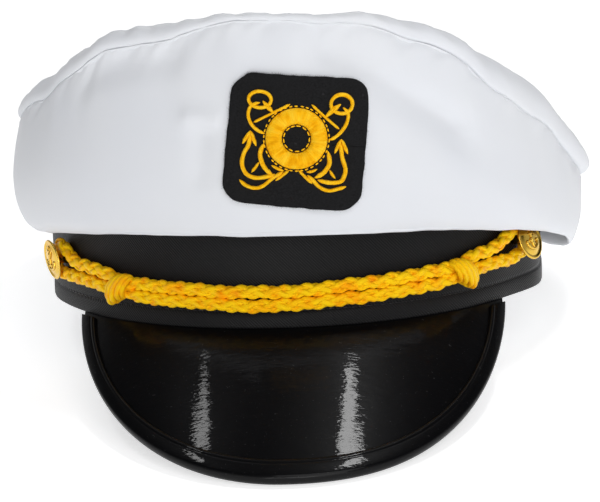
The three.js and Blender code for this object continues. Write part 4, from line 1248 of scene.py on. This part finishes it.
def path_frames(points, ahead):
    """Side and up directions at each point of a path, up as near as can be to ahead(k)."""
    frames = []
    last = len(points) - 1
    for k in range(last + 1):
        run = (points[min(k + 1, last)] - points[max(k - 1, 0)]).normalized()
        want = ahead(k)
        up = (want - run * want.dot(run)).normalized()
        frames.append((run.cross(up), up))
    return frames


def plait(bm, points, ahead, radius, flat=0.86):
    """A braid of six yarns along a path: three turn each way, over and under each other."""
    frames = path_frames(points, ahead)
    step = (points[1] - points[0]).length
    each_way = 3
    lay = 10.4 * radius
    yarn_wide, yarn_high = 0.52 * radius, 0.36 * radius
    last = len(points) - 1
    sides = 8
    for way in (1, -1):
        for yarn in range(each_way):
            middles = []
            for k in range(last + 1):
                side, up = frames[k]
                turn = 2 * math.pi * (yarn / each_way + way * k * step / lay)
                lift = way * math.cos(2 * math.pi * each_way * k * step / lay)
                reach = radius - yarn_high + 0.62 * yarn_high * lift
                spoke = side * math.cos(turn) + up * math.sin(turn) * flat
                middles.append((points[k] + spoke * reach, spoke.normalized()))

            def place(u, v):
                k = round(u * last)
                centre, spoke = middles[k]
                run = (middles[min(k + 1, last)][0] - middles[max(k - 1, 0)][0]).normalized()
                over = run.cross(spoke).normalized()
                angle = 2 * math.pi * v
                return centre + over * math.cos(angle) * yarn_wide + spoke * math.sin(angle) * yarn_high

            add_grid(bm, last, sides, place, wrap_v=True)


class HAT_OT_cord(bpy.types.Operator):
    """Models the braided cord: two strands, a loop round each button and two knots"""
    bl_idname = "hat.cord"
    bl_label = "Cord"

    step = 0.42 * MM

    def execute(self, context):
        sizes, colours = sizes_and_colours()
        form = HatForm(sizes)
        gold = cord_finish(colours.cord)
        for name, side in (("upper", 1), ("lower", -1)):
            self.middle_strand(form, gold, name, side)
        for name, hand in (("left", -1), ("right", 1)):
            self.button_loop(form, gold, name, hand)
            self.knot(form, gold, name, hand)
        return {"FINISHED"}

    def lay_cord(self, form, gold, places, name, node):
        """A braid over the band, through places of azimuth and height."""
        overhang = CLEARANCE + form.cord / 2
        points = evenly([form.oval(azimuth, overhang, height) for azimuth, height in places], self.step)

        def ahead(k):
            point = points[k]
            return Vector((point.x / form.half_width ** 2, point.y / form.half_depth ** 2, 0)).normalized()

        bm = bmesh.new()
        plait(bm, points, ahead, form.cord / 2)
        close_ends(bm)
        turn_outwards(bm)
        set_piece(bm, name, gold, [node])

    def middle_strand(self, form, gold, name, side):
        offset = (form.cord + CLEARANCE) / 2
        start, end = CORD_ROUTE[0][0], CORD_ROUTE[-1][0]
        steps = 26
        places = []
        for k in range(steps + 1):
            azimuth = start + (end - start) * k / steps
            near = min(azimuth - start, end - azimuth)
            spread = offset * (0.45 + 0.55 * min(near / 5, 1)) + 0.35 * MM * grain(azimuth * 0.15, side, 0.5)
            places.append((azimuth, form.cord_line(azimuth) + side * spread))
        self.lay_cord(form, gold, places, f"cord_{name}_braid", f"cord_{name}")

    def button_loop(self, form, gold, name, hand):
        button = BUTTON_PLACES[name]
        knot = CORD_ROUTE[0 if hand < 0 else -1][0]
        middle = form.cord_line(knot)
        offset = (form.cord + CLEARANCE) / 2
        bend = (SHANK_DIAMETER + form.cord) / 2 + LOOP_SLACK
        step = form.step(abs(button["azimuth"]))
        centre = form.band_height * button["height"]
        span = button["azimuth"] - knot
        upper = [(knot + span * place, form.band_height * high) for place, high, low in LOOP_ROUTES[name]]
        lower = [(knot + span * place, form.band_height * low) for place, high, low in LOOP_ROUTES[name]]
        turn = []
        for degrees in range(90, -91, -30):
            angle = math.radians(degrees)
            azimuth = button["azimuth"] + hand * bend * math.cos(angle) / step
            turn.append((azimuth, centre + bend * math.sin(angle)))
        first, last = (knot, middle + 0.6 * offset), (knot, middle - 0.6 * offset)
        places = [first, *upper, *turn, *reversed(lower), last]
        self.lay_cord(form, gold, places, f"cord_loop_{name}_braid", f"cord_loop_{name}")

    def knot(self, form, gold, name, hand):
        """A slip knot: yarns wound aslant round the two strands, with a bight that hangs from it."""
        azimuth = CORD_ROUTE[0 if hand < 0 else -1][0]
        outward = form.outward(azimuth)
        along_band = Vector((-outward.y, outward.x, 0))
        centre = form.oval(azimuth, CLEARANCE + KNOT_DEPTH / 2, form.cord_line(azimuth))
        bm = bmesh.new()
        for wrap in KNOT_WRAPS:
            coarse = []
            for k in range(25):
                angle = 2 * math.pi * k / 24
                up, out = math.sin(angle), math.cos(angle)
                reach = wrap["rise"] if up > 0 else wrap["drop"]
                high = reach * KNOT_HEIGHT * up
                run = wrap["run"] * KNOT_LENGTH - wrap["slant"] * KNOT_LENGTH * up
                deep = wrap["depth"] * KNOT_DEPTH * out
                coarse.append(centre + along_band * run * hand + Vector((0, 0, high)) + outward * deep)
            points = evenly(coarse, self.step)
            self.yarn(bm, points, centre, wrap["thick"] * form.cord)
        turn_outwards(bm)
        set_piece(bm, f"knot_{name}_braid", gold, [f"knot_{name}"])

    def yarn(self, bm, points, centre, radius):
        """A closed smooth yarn, a little flattened, along points round a centre."""
        last = len(points) - 1

        def place(u, v):
            k = round(u * last) % last
            run = (points[(k + 1) % last] - points[k - 1 if k else last - 1]).normalized()
            away = points[k] - centre
            out = (away - run * away.dot(run)).normalized()
            angle = 2 * math.pi * v
            swell = 1 + 0.07 * grain(k * 0.25, radius / MM * 3, 0.4)
            spoke = run.cross(out) * math.cos(angle) * 1.1 + out * math.sin(angle)
            return points[k] + spoke * radius * swell

        add_grid(bm, last, 12, place, wrap_u=True, wrap_v=True)


def raised_stroke(bm, points, half_width, rise, lay, closed=False, pitch=STITCH_PITCH):
    """A satin-stitched stroke on a surface: a low rounded bar along flat points, ridged by its
    stitches. lay(right, up, off) puts a point on the surface."""
    line = evenly(points, 0.16 * MM)
    last = len(line) - 1
    length = sum((there - here).length for here, there in zip(line, line[1:]))
    half = ((1, 0), (0.94, 0.42), (0.7, 0.78), (0.35, 0.96))
    section = (*half, (0, 1.0), *((-side, high) for side, high in reversed(half)))
    rows = len(section)
    seed = points[0].x * 900 + points[0].y * 300
    placed = {}

    def place(u, v):
        k = round(u * last)
        side, high = section[round(v * rows) % rows]
        before, after = line[max(k - 1, 0)], line[min(k + 1, last)]
        if closed and k in (0, last):
            before, after = line[last - 1], line[1]
        run = (after - before).normalized()
        left = Vector((-run.y, run.x))
        gone = length * k / last
        wave = math.cos(2 * math.pi * gone / pitch)
        uneven = grain(seed + gone / MM * 1.1, 0.3, 0.7)
        end = 1
        if not closed:
            end = min(min(gone, length - gone) / (half_width * 2.4), 1) ** 0.6
        wide = half_width * (1 + 0.05 * wave + 0.1 * uneven) * end
        tall = rise * (1 + 0.09 * wave + 0.08 * uneven) * (0.35 + 0.65 * end)
        key = (k if end else -1 if k == 0 else -2, side, high)
        if key not in placed:
            flat = line[k] + left * side * wide
            placed[key] = lay(flat.x, flat.y, high * tall)
        return placed[key]

    add_grid(bm, last, rows, place, wrap_u=closed, wrap_v=True)


class HAT_OT_buttons(bpy.types.Operator):
    """Models the two gilt shank buttons with their raised anchors"""
    bl_idname = "hat.buttons"
    bl_label = "Buttons"

    def execute(self, context):
        sizes, colours = sizes_and_colours()
        form = HatForm(sizes)
        gilt = gilt_finish(colours.gilt)
        for name in BUTTON_PLACES:
            self.button(form, sizes.button_diameter / 2, gilt, name)
        return {"FINISHED"}

    def swell(self, share):
        """Height of the dome over the rim's foot, at a share of the radius."""
        return BUTTON_SEAT + (BUTTON_DOME - BUTTON_SEAT) * (1 - share ** 2) * 0.8

    def profile(self, radius, stand):
        """Half section of the button: distance from its axis and height over the band."""
        rim = BUTTON_RIM
        shank = SHANK_DIAMETER / 2
        line = [(0, 0.02 * MM), (shank, 0.02 * MM), (shank * 0.8, 0.5 * stand), (shank, stand - 0.4 * MM)]
        edge = ((1.2, 0), (0.5, 0.05), (0, 0.5), (0.12, 0.85), (0.45, 1.02), (0.85, 0.95), (1.15, 0.6))
        line += [(radius - inward * rim, stand + rise * rim) for inward, rise in edge]
        line.append((radius - 1.6 * rim, stand + BUTTON_SEAT))
        line += [(share * radius, stand + self.swell(share)) for share in (0.7, 0.55, 0.4, 0.25, 0.12, 0)]
        return line

    def button(self, form, radius, gilt, name):
        place = BUTTON_PLACES[name]
        lean = math.radians(place["lean"])
        turn = math.radians(place["turn"])
        stand = form.cord + CLEARANCE + 0.6 * radius * math.sin(max(abs(lean), abs(turn)))
        line = self.profile(radius, stand)
        bm = bmesh.new()
        corners = [bm.verts.new((out, 0, height)) for out, height in line]
        for here, there in zip(corners, corners[1:]):
            bm.edges.new((here, there))
        bmesh.ops.spin(
            bm, geom=bm.verts[:] + bm.edges[:], cent=(0, 0, 0), axis=(0, 0, 1),
            angle=2 * math.pi, steps=56, use_merge=True,
        )
        bmesh.ops.remove_doubles(bm, verts=bm.verts, dist=1e-6)
        sunk = 0.06 * MM

        def lay(right, up, off):
            share = math.hypot(right, up) / radius
            return Vector((right, up, stand + self.swell(share) - sunk + off))

        for width, *strokes in BUTTON_STROKES:
            points = [Vector((right, up)) * radius * 0.9 for right, up in strokes]
            raised_stroke(bm, points, width * 0.52 * MM, 0.55 * MM, lay, pitch=SMOOTH_PITCH)
        shackle = []
        for k in range(13):
            angle = 2 * math.pi * k / 12
            shackle.append(Vector((math.cos(angle), math.sin(angle))) * 0.9 * MM + Vector((0, 0.56 * radius)))
        raised_stroke(bm, shackle, 0.3 * MM, 0.45 * MM, lay, closed=True, pitch=SMOOTH_PITCH)
        turn_outwards(bm)
        for vertex in bm.verts:
            if vertex.co.z > stand - 0.5 * MM:
                turned = Matrix.Rotation(lean, 3, "X") @ Matrix.Rotation(turn, 3, "Y")
                tilted = turned @ (vertex.co - Vector((0, 0, stand)))
                vertex.co = tilted + Vector((0, 0, stand))
        outward = form.outward(place["azimuth"])
        side = Vector((-outward.y, outward.x, 0))
        axes = Matrix((side, Vector((0, 0, 1)), outward)).transposed().to_4x4()
        seat = form.oval(place["azimuth"], CLEARANCE, form.band_height * place["height"])
        bmesh.ops.transform(bm, matrix=Matrix.Translation(seat) @ axes, verts=bm.verts)
        set_piece(bm, f"button_{name}_gilt", gilt, [f"button_{name}"])


class HAT_OT_badge(bpy.types.Operator):
    """Models the felt patch with its satin-stitched ring and anchors"""
    bl_idname = "hat.badge"
    bl_label = "Badge"

    def execute(self, context):
        sizes, colours = sizes_and_colours()
        form = HatForm(sizes)
        thread = thread_finish(colours.thread, 34)

        def lay(right, up, off):
            return form.face(right, up, off)

        self.patch(sizes, lay, felt_finish(colours.felt))
        self.ring(sizes, lay, thread_finish(colours.thread, 150))
        self.ring_stitches(sizes, lay, thread)
        for name in SHACKLES:
            self.anchor_head(sizes, lay, thread, name)
            self.anchor_arm(sizes, lay, thread, name)
        return {"FINISHED"}

    def outline(self, sizes, turn):
        """Point of the patch's edge at a turn from 0 to 1: a rounded square, a little uneven."""
        angle = 2 * math.pi * turn
        ray = Vector((math.cos(angle), math.sin(angle)))
        half = Vector((sizes.patch_width / 2, sizes.patch_height / 2))
        power, sharpness = 11, 38
        across, upward = abs(ray.x) / half.x, abs(ray.y) / half.y
        square = (across ** power + upward ** power) ** (-1 / power)
        cut = PATCH_CUTS[ray.y > 0][ray.x > 0] / (across + upward)
        both = sum(math.exp(-sharpness * edge / half.x) for edge in (square, cut))
        reach = -math.log(both) / sharpness * half.x
        ragged = 0.22 * MM * grain(turn * 38, 1.1, 3.0) + 0.1 * MM * grain(turn * 150, 4.1, 3.0)
        return ray * (reach + ragged)

    def patch(self, sizes, lay, felt):
        columns, rings = 288, 26

        def place(u, v):
            if v < 2 / rings:
                share, off = 1 - 0.004 * (1 - v * rings / 2), PATCH_STAND + PATCH_WALL * 0.75 * v * rings / 2
            else:
                share = (1 - (v * rings - 2) / (rings - 2)) ** 0.8
                off = PATCH_STAND + PATCH_WALL * (1 - 0.25 * share ** 12)
            edge = self.outline(sizes, u) * share
            uneven = 0.07 * MM * grain(edge.x / MM * 0.8, edge.y / MM * 0.8, 2.2)
            return lay(edge.x, edge.y, off + uneven * (1 if share < 0.99 else 0))

        bm = bmesh.new()
        add_grid(bm, columns, rings, place, wrap_u=True)
        close_ends(bm)
        self.fringe(bm, sizes, lay)
        set_piece(bm, "badge_patch_felt", felt, ["badge_patch"])

    def fringe(self, bm, sizes, lay):
        """Short fibres that stand out of the felt's cut edge."""
        count = 420
        for k in range(count):
            turn = (k + 0.4 * grain(k * 0.7, 2.0, 2.0)) / count
            edge = self.outline(sizes, turn)
            off = PATCH_STAND + PATCH_WALL * (0.5 + 0.4 * grain(k * 1.3, 0.5, 6.0))
            root = lay(edge.x * 0.992, edge.y * 0.992, off)
            ray = edge.normalized() + Vector((grain(k * 2.1, 0.2, 1.0), grain(k * 1.7, 3.2, 1.0))) * 0.9
            tip = edge + ray * (0.35 + 0.5 * abs(grain(k * 0.9, 8.2, 0.1))) * MM
            reach = lay(tip.x, tip.y, off + 0.3 * MM * grain(k * 0.5, 6.0, 1.0)) - root
            turned = reach.to_track_quat("Z", "Y").to_matrix().to_4x4()
            bmesh.ops.create_cone(
                bm, cap_ends=True, segments=3, radius1=0.045 * MM, radius2=0.012 * MM, depth=reach.length,
                matrix=Matrix.Translation(root + reach / 2) @ turned,
            )

    def ring(self, sizes, lay, thread):
        outer, inner = sizes.ring_diameter / 2 - STITCH_EDGE, sizes.ring_hole / 2 + 0.25 * MM
        width = outer - inner
        section = [(0, 0), (0.03, 0.34), (0.1, 0.62), (0.2, 0.82), (0.33, 0.95), (0.5, 1.0)]
        section += [(0.67, 0.96), (0.8, 0.84), (0.9, 0.62), (0.97, 0.32), (1, 0)]
        section += [(0.66, -0.12), (0.33, -0.12)]
        rows = len(section)
        threads = 132

        def place(u, v):
            out, high = section[round(v * rows) % rows]
            angle = 2 * math.pi * u
            ridge = math.cos(threads * angle) * (0.045 if high > 0 else 0)
            uneven = 0.1 * grain(math.cos(angle) * 9, math.sin(angle) * 9, out * 1.5)
            edge = 0.16 * MM * grain(u * 70, out * 3, 5.0)
            radius = outer - width * out + (edge if out in (0, 1) else 0)
            rise = RING_RISE * high * (1 + ridge + uneven)
            return lay(radius * math.cos(angle), RING_UP + radius * math.sin(angle), THREAD_STAND + rise)

        bm = bmesh.new()
        add_grid(bm, threads * 5, rows, place, wrap_u=True, wrap_v=True)
        turn_outwards(bm)
        set_piece(bm, "badge_ring_satin", thread, ["badge_ring"])

    def ring_stitches(self, sizes, lay, thread):
        """Small stitches that edge the ring outside and round its hole."""
        bm = bmesh.new()
        rounds = (
            (sizes.ring_diameter / 2 - 0.35 * MM, 38, 0.68),
            (sizes.ring_hole / 2 - 0.22 * MM, 13, 0.82),
        )
        for radius, count, fill in rounds:
            for k in range(count):
                angle = 2 * math.pi * (k + 0.25 * grain(k * 1.9, radius / MM, 0.0)) / count
                middle = Vector((math.cos(angle), math.sin(angle))) * radius
                side = Vector((-middle.y, middle.x)).normalized() * math.pi * radius / count * fill
                start = lay(middle.x - side.x, RING_UP + middle.y - side.y, THREAD_STAND + 0.25 * MM)
                end = lay(middle.x + side.x, RING_UP + middle.y + side.y, THREAD_STAND + 0.25 * MM)
                small_bead(bm, (start + end) / 2, end - start, (end - start).length / 2, 0.27 * MM, 7)
        set_piece(bm, "badge_ring_stitches", thread, [])

    def stroke(self, bm, sizes, lay, width, points, closed=False):
        flat = [Vector((right, up)) * sizes.patch_width for right, up in points]
        raised_stroke(
            bm, flat, width * THREAD_WIDTH / 2, THREAD_RISE * (0.6 + 0.4 * width),
            lambda right, up, off: lay(right, up, THREAD_STAND - 0.15 * MM + off), closed,
        )

    def anchor_head(self, sizes, lay, thread, name):
        right, up, half_width, half_height = SHACKLES[name]
        turns = [2 * math.pi * k / 16 for k in range(17)]
        circle = [(right + half_width * math.cos(turn), up + half_height * math.sin(turn)) for turn in turns]
        bm = bmesh.new()
        self.stroke(bm, sizes, lay, 1.0, circle, closed=True)
        for width, *points in HEAD_STROKES[name]:
            self.stroke(bm, sizes, lay, width, points)
        turn_outwards(bm)
        set_piece(bm, f"anchor_head_{name}_satin", thread, [f"badge_anchor_{name}"])

    def anchor_arm(self, sizes, lay, thread, name):
        bm = bmesh.new()
        for width, *points in ARM_STROKES[name]:
            self.stroke(bm, sizes, lay, width, points)
        turn_outwards(bm)
        set_piece(bm, f"anchor_arm_{name}_satin", thread, [f"badge_fluke_{name}"])


class HAT_PT_panel(bpy.types.Panel):
    """The hat's sizes, colours and pieces"""
    bl_idname = "HAT_PT_panel"
    bl_label = "Captain Hat"
    bl_space_type = "VIEW_3D"
    bl_region_type = "UI"
    bl_category = "Hat"

    def draw(self, context):
        layout = self.layout
        for settings in (context.scene.hat_sizes, context.scene.hat_colours):
            for name in settings.__annotations__:
                layout.prop(settings, name)
        for operator in PIECE_OPERATORS:
            layout.operator(operator.bl_idname)


# The studio's lamps: place, width and height in metres, and power in watts
LIGHT_AIM = Vector((0, -0.08, 0.03))
WORLD_STRENGTH = 0.5
FLOOR_GLOW = 0.62
SUN_PLACE = Vector((0.25, -0.75, 0.7))
SUN_STRENGTH = 0.95
STUDIO_LIGHTS = (
    ("key", (0.5, -1.5, 0.3), (0.8, 0.8), 2.8),
    ("low_fill", (0.0, -1.5, 0.06), (0.8, 0.5), 4.2),
    ("back_fill", (-0.2, 1.4, 0.95), (0.9, 0.9), 5),
)

# Lamps that hang over the peak, facing straight down: name, place, size, turn in degrees, watts
PEAK_LAMPS = (
    ("left_body", (-0.322, 0.032, 0.66), (0.06, 0.09), -21, 0.25),
    ("left_tail", (-0.302, 0.095, 0.66), (0.022, 0.08), -18, 0.07),
    ("right_body", (0.18, -0.034, 0.66), (0.088, 0.09), -6, 0.66),
    ("right_middle", (0.165, 0.044, 0.66), (0.045, 0.1), -3, 0.34),
    ("right_tail", (0.156, 0.1, 0.66), (0.018, 0.1), 4, 0.15),
)

PIECE_OPERATORS = (
    HAT_OT_stage,
    HAT_OT_crown,
    HAT_OT_band,
    HAT_OT_peak,
    HAT_OT_cord,
    HAT_OT_buttons,
    HAT_OT_badge,
)
CLASSES = (HatSizes, HatColours, *PIECE_OPERATORS, HAT_PT_panel)


def register():
    for cls in CLASSES:
        bpy.utils.register_class(cls)
    bpy.types.Scene.hat_sizes = PointerProperty(type=HatSizes)
    bpy.types.Scene.hat_colours = PointerProperty(type=HatColours)


def unregister():
    del bpy.types.Scene.hat_colours
    del bpy.types.Scene.hat_sizes
    for cls in reversed(CLASSES):
        bpy.utils.unregister_class(cls)


def main():
    register()
    bpy.ops.hat.stage()
    bpy.ops.hat.crown()
    bpy.ops.hat.band()
    bpy.ops.hat.peak()
    bpy.ops.hat.cord()
    bpy.ops.hat.buttons()
    bpy.ops.hat.badge()


if __name__ == "__main__":
    main()
